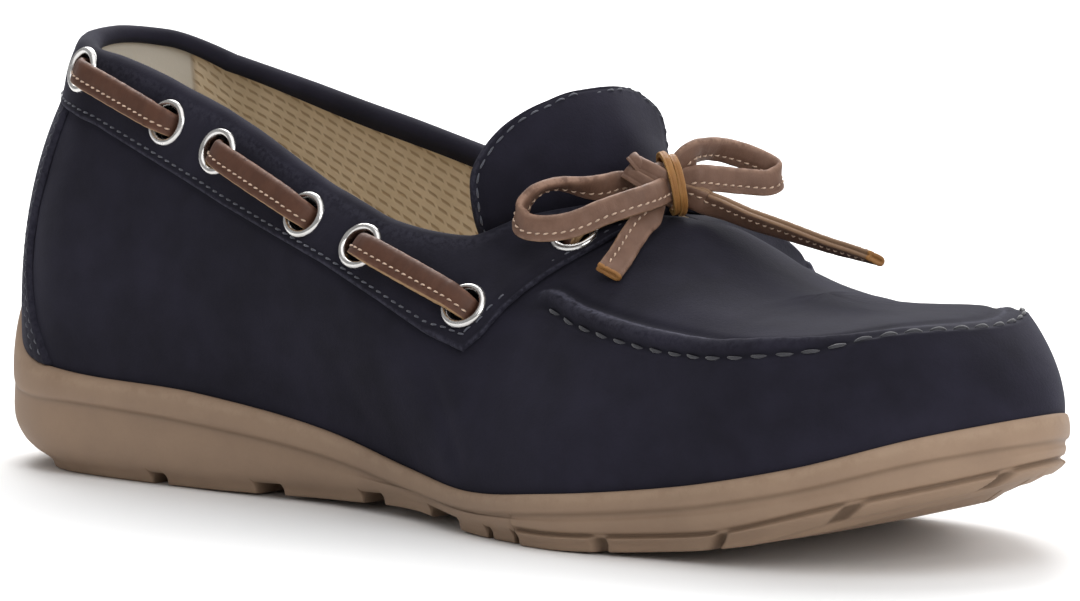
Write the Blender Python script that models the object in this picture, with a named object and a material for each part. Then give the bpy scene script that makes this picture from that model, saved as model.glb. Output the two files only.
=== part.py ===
"""Slip-on moccasin, right foot: upper, sole, insole, tongue, collar band, heel counter, eyelets and lace.

The shoe stands on the plane z = 0 with its heel toward -X, its toe toward +X and its inner side toward +Y.
Sections are worked out in millimetres, with u counted from the back of the heel toward the toe, and the
meshes are written in metres.
"""
import math
from collections import namedtuple

import bmesh
import bpy
import numpy as np
from mathutils import Matrix, Vector

MM = 0.001
MIDDLE_U, MIDDLE_Y = 130.3, -1.1        # the frame's origin, under the middle of the whole
GAP = 0.3                    # between pieces that meet
WALL = 2.0                   # upper: leather and lining
LUG_DEPTH = 2.4

# The sections fan round a centre at each end and stand square to the shoe between the two.
HEEL_CENTRE = 32.0
TOE_CENTRE = 206.0
HEEL_ARC = 50.0              # track length of each quarter turn
TOE_ARC = 72.0
HALF = HEEL_ARC + TOE_CENTRE - HEEL_CENTRE + TOE_ARC
TOE_DRIFT = 4.0              # the toe lies this far to the inner side
CREST_SLOPE = -0.2           # fall of the vamp's ridge at the toe centre
MOUTH_END = 174.0            # u where the throat's slit closes
LIFT_START, LIFT_END = 163.0, 176.5     # u along which the inner wing stands up
WING_LIFT = 4.8


def heel_turn(degrees):
    """Track place of a section turned this far from straight back."""
    return HEEL_ARC * degrees / 90.0


def side(u):
    return HEEL_ARC + u - HEEL_CENTRE


def toe_turn(degrees):
    """Track place of a section turned this far from square toward the toe."""
    return HALF - TOE_ARC + TOE_ARC * degrees / 90.0


# wall: width of the edge outside the tray; band: depth of the edge's upper band; step: how far the side below
# it stands back; corner: radius of the bottom edge; base: height of the bottom edge, lugs aside.
SoleRow = namedtuple("SoleRow", "place edge wall rim tray band step corner base")
SOLE_OUTER = (
    #        place          edge  wall rim   tray  band  step corner base
    SoleRow(heel_turn(0),   32.0, 2.8, 40.0, 19.0, 14.0, 0.1, 9.0, 2.6),
    SoleRow(heel_turn(28),  32.4, 3.0, 37.0, 19.0, 13.0, 0.1, 9.0, 2.6),
    SoleRow(heel_turn(48),  32.8, 3.2, 27.8, 18.8, 10.0, 0.2, 8.6, 2.4),
    SoleRow(heel_turn(68),  33.0, 2.8, 23.8, 18.5, 7.6, 0.5, 6.5, 2.4),
    SoleRow(side(32),       33.0, 2.4, 22.3, 18.2, 6.4, 0.9, 4.6, 2.4),
    SoleRow(side(70),       32.3, 2.0, 20.6, 17.0, 6.4, 1.2, 3.2, 2.6),
    SoleRow(side(106),      31.0, 2.0, 15.7, 12.4, 5.4, 1.2, 3.0, 3.6),
    SoleRow(side(130),      34.0, 2.0, 10.8, 8.0, 4.2, 0.6, 2.0, 4.4),
    SoleRow(side(150),      41.5, 2.0, 9.0, 6.4, 3.6, 0.6, 2.2, 2.6),
    SoleRow(side(174),      48.3, 2.0, 11.2, 8.4, 3.9, 0.9, 3.0, 2.4),
    SoleRow(side(206),      46.5, 2.0, 15.4, 12.2, 4.3, 1.2, 4.0, 4.8),
    SoleRow(toe_turn(30),   47.8, 2.0, 20.4, 17.0, 4.5, 1.2, 4.4, 8.6),
    SoleRow(toe_turn(60),   50.8, 1.5, 26.7, 23.1, 4.8, 1.0, 4.8, 13.4),
    SoleRow(toe_turn(90),   54.2, 1.5, 29.2, 25.4, 5.2, 0.8, 5.0, 16.8),
)
SOLE_INNER = (
    SoleRow(heel_turn(28),  32.3, 3.0, 37.0, 19.0, 13.0, 0.1, 9.0, 2.6),
    SoleRow(heel_turn(48),  32.5, 3.2, 27.8, 18.8, 10.0, 0.2, 8.6, 2.4),
    SoleRow(heel_turn(68),  32.6, 2.8, 23.8, 18.5, 7.6, 0.5, 6.5, 2.4),
    SoleRow(side(32),       32.5, 2.4, 22.3, 18.2, 6.4, 0.9, 4.6, 2.4),
    SoleRow(side(70),       31.0, 2.0, 21.6, 18.0, 6.6, 1.2, 3.2, 2.6),
    SoleRow(side(106),      28.5, 2.0, 20.4, 16.6, 6.4, 1.2, 3.0, 4.2),
    SoleRow(side(130),      30.5, 2.0, 18.2, 14.4, 5.8, 1.2, 3.0, 4.8),
    SoleRow(side(150),      35.5, 2.0, 15.4, 11.8, 5.0, 1.0, 3.0, 3.2),
    SoleRow(side(174),      39.8, 2.0, 14.2, 10.8, 4.4, 1.0, 3.0, 2.4),
    SoleRow(side(206),      39.2, 2.0, 16.2, 12.8, 4.3, 1.2, 4.0, 4.8),
    SoleRow(toe_turn(30),   41.6, 1.6, 19.6, 16.2, 4.5, 1.2, 4.4, 8.8),
    SoleRow(toe_turn(60),   46.2, 1.4, 25.0, 21.4, 4.8, 1.0, 4.8, 13.6),
)

# A lean is the wall's angle from level, going up and in: 90 is upright and more than 90 leans outward.
WallRow = namedtuple("WallRow", "place foot_lean shoulder_w shoulder_z lean_below lean_above top_w top_z top_lean")
WALL_OUTER = (
    #        place          foot  shoulder    below above top         lean
    WallRow(heel_turn(0),   93,   20.6, 76.0, 66,   66,   15.6, 89.6, 72),
    WallRow(heel_turn(45),  94,   21.2, 75.6, 65,   66,   16.9, 88.8, 72),
    WallRow(side(32),       96,   25.4, 73.4, 68,   69,   21.2, 86.6, 73),
    WallRow(side(70),       97,   29.6, 60.9, 74,   74,   24.8, 77.0, 74),
    WallRow(side(106),      101,  34.2, 49.2, 80,   76,   28.0, 62.6, 62),
    WallRow(side(125),      103,  36.8, 41.6, 77,   73,   28.8, 56.8, 56),
    WallRow(side(139),      104,  37.6, 38.6, 72,   66,   25.4, 55.2, 46),
    WallRow(side(148),      104,  36.0, 40.4, 66,   58,   18.0, 59.4, 38),
    WallRow(side(160),      103,  30.3, 47.2, 54,   46,   9.5, 61.8, 28),
    WallRow(side(174),      103,  33.9, 45.1, 60,   42,   0.0, 60.6, 0),
    WallRow(side(206),      102,  40.3, 41.2, 72,   22,   0.0, 46.6, 0),
    WallRow(toe_turn(30),   100,  42.0, 43.0, 62,   12,   0.0, 46.6, 0),
    WallRow(toe_turn(60),   106,  43.4, 45.2, 52,   14,   0.0, 46.6, 0),
    WallRow(toe_turn(90),   108,  43.6, 45.2, 46,   16,   0.0, 46.6, 0),
)
WALL_INNER = (
    WallRow(heel_turn(45),  94,   21.2, 75.4, 65,   66,   16.9, 88.4, 72),
    WallRow(side(32),       96,   25.0, 71.6, 68,   69,   20.9, 83.2, 73),
    WallRow(side(70),       97,   28.8, 60.4, 74,   74,   24.4, 74.1, 74),
    WallRow(side(106),      98,   31.6, 51.2, 80,   76,   27.6, 64.8, 62),
    WallRow(side(125),      99,   33.6, 45.4, 77,   73,   28.0, 59.2, 56),
    WallRow(side(139),      99,   34.2, 43.8, 72,   66,   25.0, 58.2, 46),
    WallRow(side(148),      99,   33.4, 44.8, 68,   58,   18.0, 60.4, 40),
    WallRow(side(160),      99,   31.4, 47.0, 60,   46,   9.5, 61.8, 28),
    WallRow(side(174),      99,   32.0, 45.2, 66,   38,   0.0, 60.6, 0),
    WallRow(side(206),      99,   32.4, 40.4, 76,   14,   0.0, 46.6, 0),
    WallRow(toe_turn(30),   104,  34.2, 41.8, 62,   12,   0.0, 46.6, 0),
    WallRow(toe_turn(60),   109,  39.0, 45.4, 52,   14,   0.0, 46.6, 0),
)


def smooth(x):
    x = np.clip(x, 0.0, 1.0)
    return x * x * (3.0 - 2.0 * x)


def spine_y(u):
    return TOE_DRIFT * smooth((u - 120.0) / (TOE_CENTRE - 120.0))


class Round:
    """A closed curve of values round the shoe, through the rows of an outer and an inner table."""

    def __init__(self, outer, inner, column, monotone=False):
        places = [r.place for r in outer] + [2.0 * HALF - r.place for r in reversed(inner)]
        values = [getattr(r, column) for r in outer] + [getattr(r, column) for r in reversed(inner)]
        self.s = np.array(places)
        self.v = np.array(values, float)
        step = np.diff(np.append(self.s, self.s[0] + 2.0 * HALF))
        rise = (np.roll(self.v, -1) - self.v) / step
        before, back = np.roll(step, 1), np.roll(rise, 1)
        self.slope = (step * back + before * rise) / (step + before)
        if monotone:
            same = back * rise > 0.0
            safe = np.where(same, back * rise, 1.0)
            harmonic = 3.0 * (step + before) * safe / ((2.0 * step + before) * rise + (step + 2.0 * before) * back
                                                       + 1e-12)
            self.slope = np.where(same, harmonic, 0.0)
        self.step = step

    def __call__(self, s):
        s = np.asarray(s, float) % (2.0 * HALF)
        i = np.searchsorted(self.s, s, side="right") - 1
        j = (i + 1) % len(self.s)
        h = self.step[i]
        x = (s - self.s[i]) / h
        return (self.v[i] * (1.0 + 2.0 * x) * (1.0 - x) ** 2 + self.v[j] * x * x * (3.0 - 2.0 * x)
                + h * self.slope[i] * x * (1.0 - x) ** 2 - h * self.slope[j] * x * x * (1.0 - x))


SOLE = {c: Round(SOLE_OUTER, SOLE_INNER, c) for c in SoleRow._fields[1:]}
LAST = {c: Round(WALL_OUTER, WALL_INNER, c, c.startswith("top")) for c in WallRow._fields[1:]}


def section(s):
    """Where the section plane at a track place stands, and its outward direction (dx, dy)."""
    s = np.asarray(s, float) % (2.0 * HALF)
    inner = s > HALF
    q = np.where(inner, 2.0 * HALF - s, s)
    heel = np.clip(1.0 - q / HEEL_ARC, 0.0, 1.0) * math.pi / 2.0
    toe = np.clip((q - HALF + TOE_ARC) / TOE_ARC, 0.0, 1.0) * math.pi / 2.0
    u = np.clip(HEEL_CENTRE + q - HEEL_ARC, HEEL_CENTRE, TOE_CENTRE)
    return u, np.sin(toe - heel), np.where(inner, 1.0, -1.0) * np.cos(toe - heel)


def hermite(a, b, lean_a, lean_b, x):
    """Point on the curve from a to b, each a (w, z), that leaves and arrives at the given leans."""
    reach = np.hypot(b[0] - a[0], b[1] - a[1])
    la, lb = np.radians(lean_a), np.radians(lean_b)
    h0 = (1.0 + 2.0 * x) * (1.0 - x) ** 2
    h1 = x * x * (3.0 - 2.0 * x)
    g0 = x * (1.0 - x) ** 2 * reach
    g1 = -x * x * (1.0 - x) * reach
    w = a[0] * h0 + b[0] * h1 - np.cos(la) * g0 - np.cos(lb) * g1
    z = a[1] * h0 + b[1] * h1 + np.sin(la) * g0 + np.sin(lb) * g1
    return w, z


def place(s, w, z):
    """World point in metres, at half-width w and height z of the section at s."""
    u, dx, dy = section(s)
    return np.stack([u + dx * w - MIDDLE_U, spine_y(u) + dy * w - MIDDLE_Y, z + 0.0 * w], -1) * MM


def surface(s, t):
    """Outside of the upper: t runs 0 at the foot, 1 at the shoulder or seam, 2 at the top."""
    s, t = np.broadcast_arrays(np.asarray(s, float), np.asarray(t, float))
    u, dx, dy = section(s)
    foot = (SOLE["edge"](s) - SOLE["wall"](s) - GAP, SOLE["tray"](s) + GAP)
    shoulder = (LAST["shoulder_w"](s), LAST["shoulder_z"](s))
    top = (LAST["top_w"](s), LAST["top_z"](s))
    below = hermite(foot, shoulder, LAST["foot_lean"](s), LAST["lean_below"](s), np.clip(t, 0.0, 1.0))
    crest_lean = np.where(u >= MOUTH_END, np.degrees(np.arctan(-CREST_SLOPE * dx)), LAST["top_lean"](s))
    above = hermite(shoulder, top, LAST["lean_above"](s), crest_lean, np.clip(t - 1.0, 0.0, 1.0))
    w = np.where(t < 1.0, below[0], above[0])
    z = np.where(t < 1.0, below[1], above[1])
    return place(s, w, z)


def unit(v):
    return v / np.maximum(np.linalg.norm(v, axis=-1, keepdims=True), 1e-12)


def frame(s, t):
    """Unit vectors on the outside: along the track, up the wall, and outward."""
    s, t = np.broadcast_arrays(np.asarray(s, float), np.asarray(t, float))
    ds, dt = 0.05, 0.004
    tt = np.clip(t, 2.0 * dt, 2.0 - 2.0 * dt)
    along = unit(surface(s + ds, tt) - surface(s - ds, tt))
    up = unit(surface(s, tt + dt) - surface(s, tt - dt))
    out = unit(np.cross(along, up))
    return along, unit(np.cross(out, along)), out


def wing_lift(s, t):
    """How far the wing's front, on the inner side, stands off the last shape, in mm."""
    s = np.asarray(s, float) % (2.0 * HALF)
    q = 2.0 * HALF - s
    along = smooth((q - side(LIFT_START)) / 8.0) * smooth((side(LIFT_END) + 0.5 - q) / 1.0)
    return np.where(s > HALF, WING_LIFT * along * smooth((t - 0.9) / 0.16) * smooth((2.02 - t) / 0.9), 0.0)


def skin(s, t, depth):
    """Point of the wall moved outward by depth millimetres; the wing's lift moves the outside alone."""
    depth = np.asarray(depth, float)
    raised = depth + np.where(depth > -WALL / 2.0, wing_lift(s, t), 0.0)
    return surface(s, t) + frame(s, t)[2] * (raised[..., None] * MM)


def at_height(s, z):
    """Wall parameter t where the outside of the section at s reaches height z (mm)."""
    samples = np.linspace(0.0, 2.0, 161)
    s, z = np.broadcast_arrays(np.asarray(s, float), np.asarray(z, float))
    found = [np.interp(height, surface(at, samples)[:, 2] / MM, samples) for at, height in zip(s.ravel(), z.ravel())]
    return np.array(found).reshape(s.shape)


def reach(s, part):
    """Straight distance, in mm, across the skirt (0) or the part above the shoulder (1)."""
    return float(np.linalg.norm(surface(s, part + 1.0) - surface(s, float(part))) / MM)


def both_sides(half):
    """Track places round the whole shoe from those of one side, heel back and toe tip counted once."""
    return np.concatenate([half, (2.0 * HALF - half[1:-1])[::-1]])


# ---- meshes and materials

def material(name, colour, roughness, metallic=0.0):
    made = bpy.data.materials.new(name)
    made.use_nodes = True
    shader = made.node_tree.nodes["Principled BSDF"]
    shader.inputs["Base Color"].default_value = (*colour, 1.0)
    shader.inputs["Roughness"].default_value = roughness
    shader.inputs["Metallic"].default_value = metallic
    made.diffuse_color = (*colour, 1.0)
    return made


def solid(name, points, faces, finish, weld=True):
    """One closed solid from points in metres."""
    mesh = bpy.data.meshes.new(name)
    mesh.from_pydata([tuple(p) for p in points], [], faces)
    shell = bmesh.new()
    shell.from_mesh(mesh)
    if weld:
        bmesh.ops.remove_doubles(shell, verts=shell.verts, dist=0.002 * MM)
    bmesh.ops.recalc_face_normals(shell, faces=shell.faces)
    for face in shell.faces:
        face.smooth = True
    shell.to_mesh(mesh)
    shell.free()
    mesh.materials.append(finish)
    made = bpy.data.objects.new(name, mesh)
    bpy.context.scene.collection.objects.link(made)
    return made


def grid_faces(columns, rows, wrap_columns, wrap_rows, skip=()):
    """Quads of a grid whose points are listed column by column; skip holds (column, row) quads left out."""
    faces = []
    for i in range(columns if wrap_columns else columns - 1):
        k = (i + 1) % columns
        for j in range(rows if wrap_rows else rows - 1):
            m = (j + 1) % rows
            if (i, j) not in skip:
                faces.append((i * rows + j, k * rows + j, k * rows + m, i * rows + m))
    return faces


def tube(name, loops, finish):
    """A solid through closed loops of points, capped at both ends."""
    loops = np.asarray(loops)
    count, rows = loops.shape[:2]
    faces = grid_faces(count, rows, False, True)
    faces.append(tuple(range(rows)))
    faces.append(tuple((count - 1) * rows + j for j in reversed(range(rows))))
    return solid(name, loops.reshape(-1, 3), faces, finish, weld=False)


# Stations of the upper, band and lace: finer round the ends and where the wings cross the instep.
BODY_U = (41, 52, 63, 74, 85, 96, 107, 118, 129, 137, 143, 148)
INSTEP_U = (151, 154, 157, 160, 163, 166, 168, 171, 174, 180.6, 181.4)
VAMP_U = (189, 197)
HEEL_STEPS = 8
TOE_STEPS = 8
SEAM_START = 159.0           # u where the raised seam comes out from under the wing
LIP = ((-3.0, 0.0), (-1.4, 0.7), (0.0, 1.2), (1.4, 0.7), (3.0, -0.1))   # distance across the seam, rise


def upper_places():
    heel = np.linspace(0.0, HEEL_ARC, HEEL_STEPS + 1)
    straight = side(np.array(BODY_U + INSTEP_U + VAMP_U, float))
    toe = np.linspace(HALF - TOE_ARC, HALF, TOE_STEPS + 1)
    return both_sides(np.concatenate([heel, straight, toe]))


def seam_rise(s):
    """How far the moccasin seam has risen at a track place, 0 to 1."""
    q = min(s, 2.0 * HALF - s)
    return float(smooth((q - side(SEAM_START)) / 6.0))


def make_upper(finish):
    places = upper_places()
    skirt = (0.0, 0.2, 0.4, 0.6, 0.8)
    vamp = (1.25, 1.5, 1.75, 2.0)
    lining = (2.0, 1.6, 1.25, 0.9, 0.5, 0.0)
    points = []
    for s in places:
        near, far = reach(s, 0), reach(s, 1)
        outer = [(t, 0.0) for t in skirt]
        outer += [(1.0 + d / (near if d < 0.0 else far), rise * seam_rise(s)) for d, rise in LIP]
        outer += [(t, 0.0) for t in vamp]
        column = outer + [(t, -WALL) for t in lining]
        t, depth = np.array(column).T
        points.append(skin(s, t, depth))
    rows = len(points[0])
    closed = [min(s, 2.0 * HALF - s) >= side(MOUTH_END) - 0.01 for s in places]
    top = rows - len(lining) - 1
    skip = {(i, top) for i in range(len(places)) if closed[i] and closed[(i + 1) % len(places)]}
    points = join_crest(points, places, closed, top)
    return solid("upper", np.array(points).reshape(-1, 3), grid_faces(len(places), rows, True, True, skip), finish)


def join_crest(points, places, closed, top):
    """Bring both sides' last points together on the vamp's ridge, outside and inside."""
    count = len(places)
    for i in range(count // 2 + 1):
        k = -i % count
        if closed[i]:
            for row in (top, top + 1):
                middle = (points[i][row] + points[k][row]) / 2.0
                points[i][row] = points[k][row] = middle
    centre = [i for i in range(count) if closed[i] and toe_side(places[i])]
    for row in (top, top + 1):
        middle = sum(points[i][row] for i in centre) / len(centre)
        for i in centre:
            points[i][row] = middle
    return points


def toe_side(s):
    return min(s, 2.0 * HALF - s) >= HALF - TOE_ARC - 0.01


# ---- sole and insole

# Lugs round the sole's edge, heel to toe; up to bar_end a bar joins the two sides.
LugRow = namedtuple("LugRow", "start end bar_end")
LUGS = (
    LugRow(heel_turn(64.5), side(54.5), 0),
    LugRow(side(59), side(83), side(83)),
    LugRow(side(90.5), side(113), 0),
    LugRow(side(120), side(136), 0),
    LugRow(side(147), side(156), 0),
    LugRow(side(158), side(164.5), 0),
    LugRow(side(166), HALF, side(184)),
)
# Raised pads along the side of the foremost lug, between slanting grooves.
PadRow = namedtuple("PadRow", "start end")
PADS = (
    PadRow(side(166), side(184)),
    PadRow(side(189), toe_turn(3)),
    PadRow(toe_turn(12), toe_turn(36)),
    PadRow(toe_turn(47), toe_turn(72)),
    PadRow(toe_turn(80), HALF),
)
PAD_OUT, GROOVE_IN = 0.6, 0.9
PAD_SLANT = 1.0              # the grooves lean this far toward the heel for each mm down
LUG_REACH, BAR_INSET = 17.0, 21.0
LIP_WIDTH = 1.6              # flat top of the edge beside the upper
SPRING_START, SPRING = 178.0, 11.1
HEEL_TOE_STEP, WAIST_STEP = 7.5, 9.5         # most that the sole's sections stand apart


def under_z(u):
    """Height of the sole's underside on its middle line, lugs aside."""
    spring = SPRING * np.clip((u - SPRING_START) / 75.0, 0.0, None) ** 1.7
    return LUG_DEPTH + spring + 1.6 * smooth((u - 96.0) / 16.0) * smooth((150.0 - u) / 16.0)


def sole_places():
    """One side's track places: every lug's and pad's ends and every groove's middle, with steps between."""
    grooves = [(a.end + b.start) / 2.0 for a, b in zip(PADS[:-1], PADS[1:])]
    ends = sorted({0.0, *(end for lug in LUGS for end in lug[:2]), *(end for pad in PADS for end in pad), *grooves})
    places = [0.0]
    for a, b in zip(ends[:-1], ends[1:]):
        step = HEEL_TOE_STEP if a < HEEL_ARC or b > HALF - TOE_ARC else WAIST_STEP
        steps = max(1, int(round((b - a) / step)))
        places += list(np.linspace(a, b, steps + 1)[1:])
    return np.array(places)


def pad_relief(s):
    """How far the sole's side stands out on a pad, or back in a groove."""
    q = min(s, 2.0 * HALF - s)
    if q <= PADS[0].start:
        return 0.0
    on_pad = any(pad.start - 0.01 <= q <= pad.end + 0.01 for pad in PADS)
    return (PAD_OUT if on_pad else -GROOVE_IN) * float(smooth((q - PADS[0].start) / 18.0))


def leaned(s, drop):
    """Track place that a point this far below the pads' middle height has on a section's leaning column."""
    inner = s > HALF
    q = 2.0 * HALF - s if inner else s
    q = q - PAD_SLANT * drop * float(smooth((q - PADS[0].end + 6.0) / 24.0) * smooth((HALF - q) / 9.0))
    return 2.0 * HALF - q if inner else q


def tray_middle(s):
    """Height of the tray on the middle line opposite the track place s."""
    q = np.clip(min(s, 2.0 * HALF - s), HEEL_ARC, HALF - TOE_ARC)
    return 0.5 * float(SOLE["tray"](q) + SOLE["tray"](2.0 * HALF - q)) - 0.6


def tray_z(s, f):
    """Height of the sole's tray at fraction f of the way out from the middle line."""
    a, b = tray_middle(s), float(SOLE["tray"](s))
    return np.interp(f, (0.0, 0.55, 1.0), (a, a + 0.42 * (b - a), b))


def sole_section(s, relief):
    """(w, z) down the sole's section, from the tray's middle round the edge to the middle underneath."""
    edge, wall, rim, tray, band, step, corner, base = (float(SOLE[c](s)) for c in SoleRow._fields[1:])
    base = max(base, LUG_DEPTH)
    u, dx, _ = section(s)
    middle = np.array([float(u) - MIDDLE_U, float(spine_y(u)) - MIDDLE_Y])

    def against_upper(z):
        return float(np.hypot(*(surface(s, at_height(s, z))[:2] / MM - middle))) + GAP + 0.15

    half_up = 0.5 * (tray + rim)
    lip = against_upper(rim)
    top = min(edge - 0.5, lip + LIP_WIDTH)
    side_w = edge - step
    foot = side_w - corner
    under = float(under_z(u + dx * (edge - BAR_INSET)))
    return [
        (0.0, tray_z(s, 0.0)), (0.55 * (edge - wall), tray_z(s, 0.55)), (edge - wall, tray),
        (against_upper(half_up), half_up), (lip, rim - 0.4), (0.5 * (lip + top), rim), (top, rim - 0.6),
        (edge - 0.15 * (edge - top), rim - 0.5 * band), (edge - 0.3 * step, rim - band + 0.5),
        (side_w, rim - band - 0.4), (side_w + relief, max(base + corner, 0.5 * (rim - band + base))),
        (side_w + relief - 0.3 * corner, base + 0.3 * corner), (foot + relief, base), (foot - 1.5, base),
        (edge - LUG_REACH, 0.4 * base + 0.6 * under), (edge - BAR_INSET, under), (0.0, float(under_z(u))),
    ]


LEAN_FIRST, LEAN_LAST = 10, 14               # rows of the section that lean with the grooves


def make_sole(finish):
    places = both_sides(sole_places())
    points = []
    for s in places:
        relief = pad_relief(s)
        column = np.array(sole_section(s, relief))
        rows = len(column)
        middle = 0.5 * (column[LEAN_FIRST, 1] + column[LEAN_LAST, 1])
        drops = np.clip(middle - column[:, 1], column[LEAN_LAST, 1] - middle, middle)
        spots = np.full(rows, s)
        for k in range(LEAN_FIRST, LEAN_LAST + 1):
            spots[k] = leaned(s, drops[k])
            column[k] = sole_section(spots[k], relief)[k]
        points.append(place(spots, *column.T))
    points = np.array(points)
    for k in (0, rows - 1):
        points[:, k] = sew_middle(points[:, k], places)
    made = solid("sole", points.reshape(-1, 3), grid_faces(len(places), rows, True, False), finish)
    lower_lugs(made)
    return made


def sew_middle(line, places):
    """Give both sides, and each fan, the same point on the middle line."""
    line = line.copy()
    count = len(places)
    for i in range(count // 2 + 1):
        k = -i % count
        line[i] = line[k] = (line[i] + line[k]) / 2.0
    for fan in ([i for i in range(count) if min(places[i], 2 * HALF - places[i]) <= HEEL_ARC + 0.01],
                [i for i in range(count) if toe_side(places[i])]):
        if fan:
            line[fan] = line[fan].mean(axis=0)
    return line


def track_place(point):
    """Track place (on one side) and half-width of a point in metres."""
    u, across = point[0] / MM + MIDDLE_U, point[1] / MM + MIDDLE_Y
    y = across - float(spine_y(np.clip(u, 0.0, TOE_CENTRE)))
    if u < HEEL_CENTRE:
        return HEEL_ARC * (1.0 - math.atan2(HEEL_CENTRE - u, abs(y)) * 2.0 / math.pi), math.hypot(HEEL_CENTRE - u, y)
    if u > TOE_CENTRE:
        y = across - TOE_DRIFT
        return HALF - TOE_ARC + TOE_ARC * math.atan2(u - TOE_CENTRE, abs(y)) * 2.0 / math.pi, math.hypot(u - TOE_CENTRE, y)
    return side(u), abs(y)


def lower_lugs(made):
    """Extrude the lugs and cross bars down from the sole's underside."""
    shell = bmesh.new()
    shell.from_mesh(made.data)
    shell.faces.ensure_lookup_table()
    for lug in LUGS:
        chosen = []
        for face in shell.faces:
            if face.normal.z > -0.7:
                continue
            s, w = track_place(face.calc_center_median())
            q = s if face.calc_center_median().y < 0.0 else 2.0 * HALF - s
            edge = float(SOLE["edge"](q))
            on_edge = edge - LUG_REACH - 1.0 < w < edge - float(SOLE["step"](q) + SOLE["corner"](q))
            on_bar = s < lug.bar_end and w < edge - BAR_INSET
            if lug.start < s < lug.end and (on_edge or on_bar):
                chosen.append(face)
        grown = bmesh.ops.extrude_face_region(shell, geom=chosen)
        bmesh.ops.delete(shell, geom=chosen, context="FACES")
        for part in grown["geom"]:
            if isinstance(part, bmesh.types.BMVert):
                part.co.z = max(part.co.z - LUG_DEPTH * MM, 0.0)
    bmesh.ops.recalc_face_normals(shell, faces=shell.faces)
    shell.to_mesh(made.data)
    shell.free()


INSOLE_LIFT, INSOLE_THICK = 0.7, 3.0


def make_insole(finish):
    half = np.concatenate([np.linspace(0, HEEL_ARC, 5), side(np.arange(50.0, 205.0, 17.4)),
                           np.linspace(HALF - TOE_ARC, HALF, 6)])
    places = both_sides(half)
    points = []
    for s in places:
        inside = float(SOLE["edge"](s) - SOLE["wall"](s)) - GAP - WALL - 1.0
        column = []
        for f, up in ((0.0, 0.0), (0.55, 0.0), (1.0, 0.0), (1.0, INSOLE_THICK), (0.55, INSOLE_THICK), (0.0, INSOLE_THICK)):
            lift = INSOLE_LIFT + up
            column.append((f * inside, tray_z(s, f) + lift))
        points.append(place(np.full(6, s), *np.array(column).T))
    points = np.array(points)
    for k in (0, 5):
        points[:, k] = sew_middle(points[:, k], places)
    return solid("insole", points.reshape(-1, 3), grid_faces(len(places), 6, True, False), finish)


# ---- tongue

# Down the tongue: its middle (u, y, z), half width, and how far its edges lie back and below.
TongueRow = namedtuple("TongueRow", "u y z half back drop twist")
TONGUE = (
    TongueRow(182.0, 3.0, 53.4, 12.0, 0.0, 4.8, 0.0),
    TongueRow(174.0, 3.0, 54.4, 13.0, 5.0, 6.6, 0.0),
    TongueRow(167.4, 2.4, 55.4, 14.4, 13.0, 8.6, 0.0),
    TongueRow(163.0, 1.6, 59.2, 16.2, 21.0, 11.4, 0.0),
    TongueRow(160.2, 0.2, 65.6, 18.6, 24.0, 9.6, 0.0),
    TongueRow(159.0, 0.7, 71.8, 22.8, 16.8, 5.6, 5.6),
    TongueRow(156.2, 1.0, 77.0, 22.2, 12.8, 4.6, 5.6),
    TongueRow(152.8, 2.2, 81.4, 18.6, 7.6, 2.6, 4.4),
    TongueRow(150.4, 3.4, 84.2, 11.8, 3.6, 1.4, 2.4),
    TongueRow(149.4, 4.0, 85.2, 4.5, 1.0, 0.5, 0.6),
)
TONGUE_THICK = 1.8
ARCH_POWER, ARCH_SOFT = 0.66, 0.02


def arch(v):
    """0 on the tongue's middle line and 1 at its edges, with a round top."""
    return ((v * v + ARCH_SOFT) ** ARCH_POWER - ARCH_SOFT ** ARCH_POWER) / (
        (1.0 + ARCH_SOFT) ** ARCH_POWER - ARCH_SOFT ** ARCH_POWER)


def tongue_sheet(r, v):
    """Middle surface of the tongue: r down its length in rows, v across from -1 to 1, in mm."""
    rows = {c: np.array([getattr(row, c) for row in TONGUE]) for c in TongueRow._fields}
    at = {c: smooth_rows(rows[c], r) for c in TongueRow._fields}
    a = arch(v)
    u = at["u"] - at["back"] * a + at["twist"] * v
    return np.stack([u - MIDDLE_U, at["y"] + at["half"] * v - MIDDLE_Y, at["z"] - at["drop"] * a], -1)


def smooth_rows(values, r):
    """Catmull-Rom curve through evenly spaced values."""
    last = len(values) - 1
    i = np.clip(np.floor(r).astype(int), 0, last - 1)
    x = r - i
    slope = np.gradient(values)
    return (values[i] * (1 + 2 * x) * (1 - x) ** 2 + values[i + 1] * x * x * (3 - 2 * x)
            + slope[i] * x * (1 - x) ** 2 - slope[i + 1] * x * x * (1 - x))


def make_tongue(finish):
    r = np.linspace(0.0, len(TONGUE) - 1.0, 13)
    v = np.linspace(-1.0, 1.0, 9)
    rr, vv = np.meshgrid(r, v, indexing="ij")
    e = 0.02
    inner = np.clip(rr, e, len(TONGUE) - 1.0 - e)
    along = tongue_sheet(inner + e, vv) - tongue_sheet(inner - e, vv)
    across = tongue_sheet(rr, np.clip(vv + e, -1, 1)) - tongue_sheet(rr, np.clip(vv - e, -1, 1))
    out = unit(np.cross(across, along))
    sheet = tongue_sheet(rr, vv)
    front = (sheet + out * TONGUE_THICK / 2.0) * MM
    back = (sheet - out * TONGUE_THICK / 2.0) * MM
    loops = np.concatenate([front, back[:, ::-1]], axis=1)
    return tube("tongue", loops, finish)


# ---- collar band and heel counter

BAND_OUT = 1.5               # outer face of the band from the upper
BAND_UNDER = 0.45            # its underside, clear of the upper where both bend
BAND_THICK = BAND_OUT - BAND_UNDER
BAND_TUCK = 2.0              # how far it turns down inside the collar
BAND_RISE = (0.0, 0.16, 0.38, 0.68, 1.0)     # fractions up its face where it has points

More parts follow.
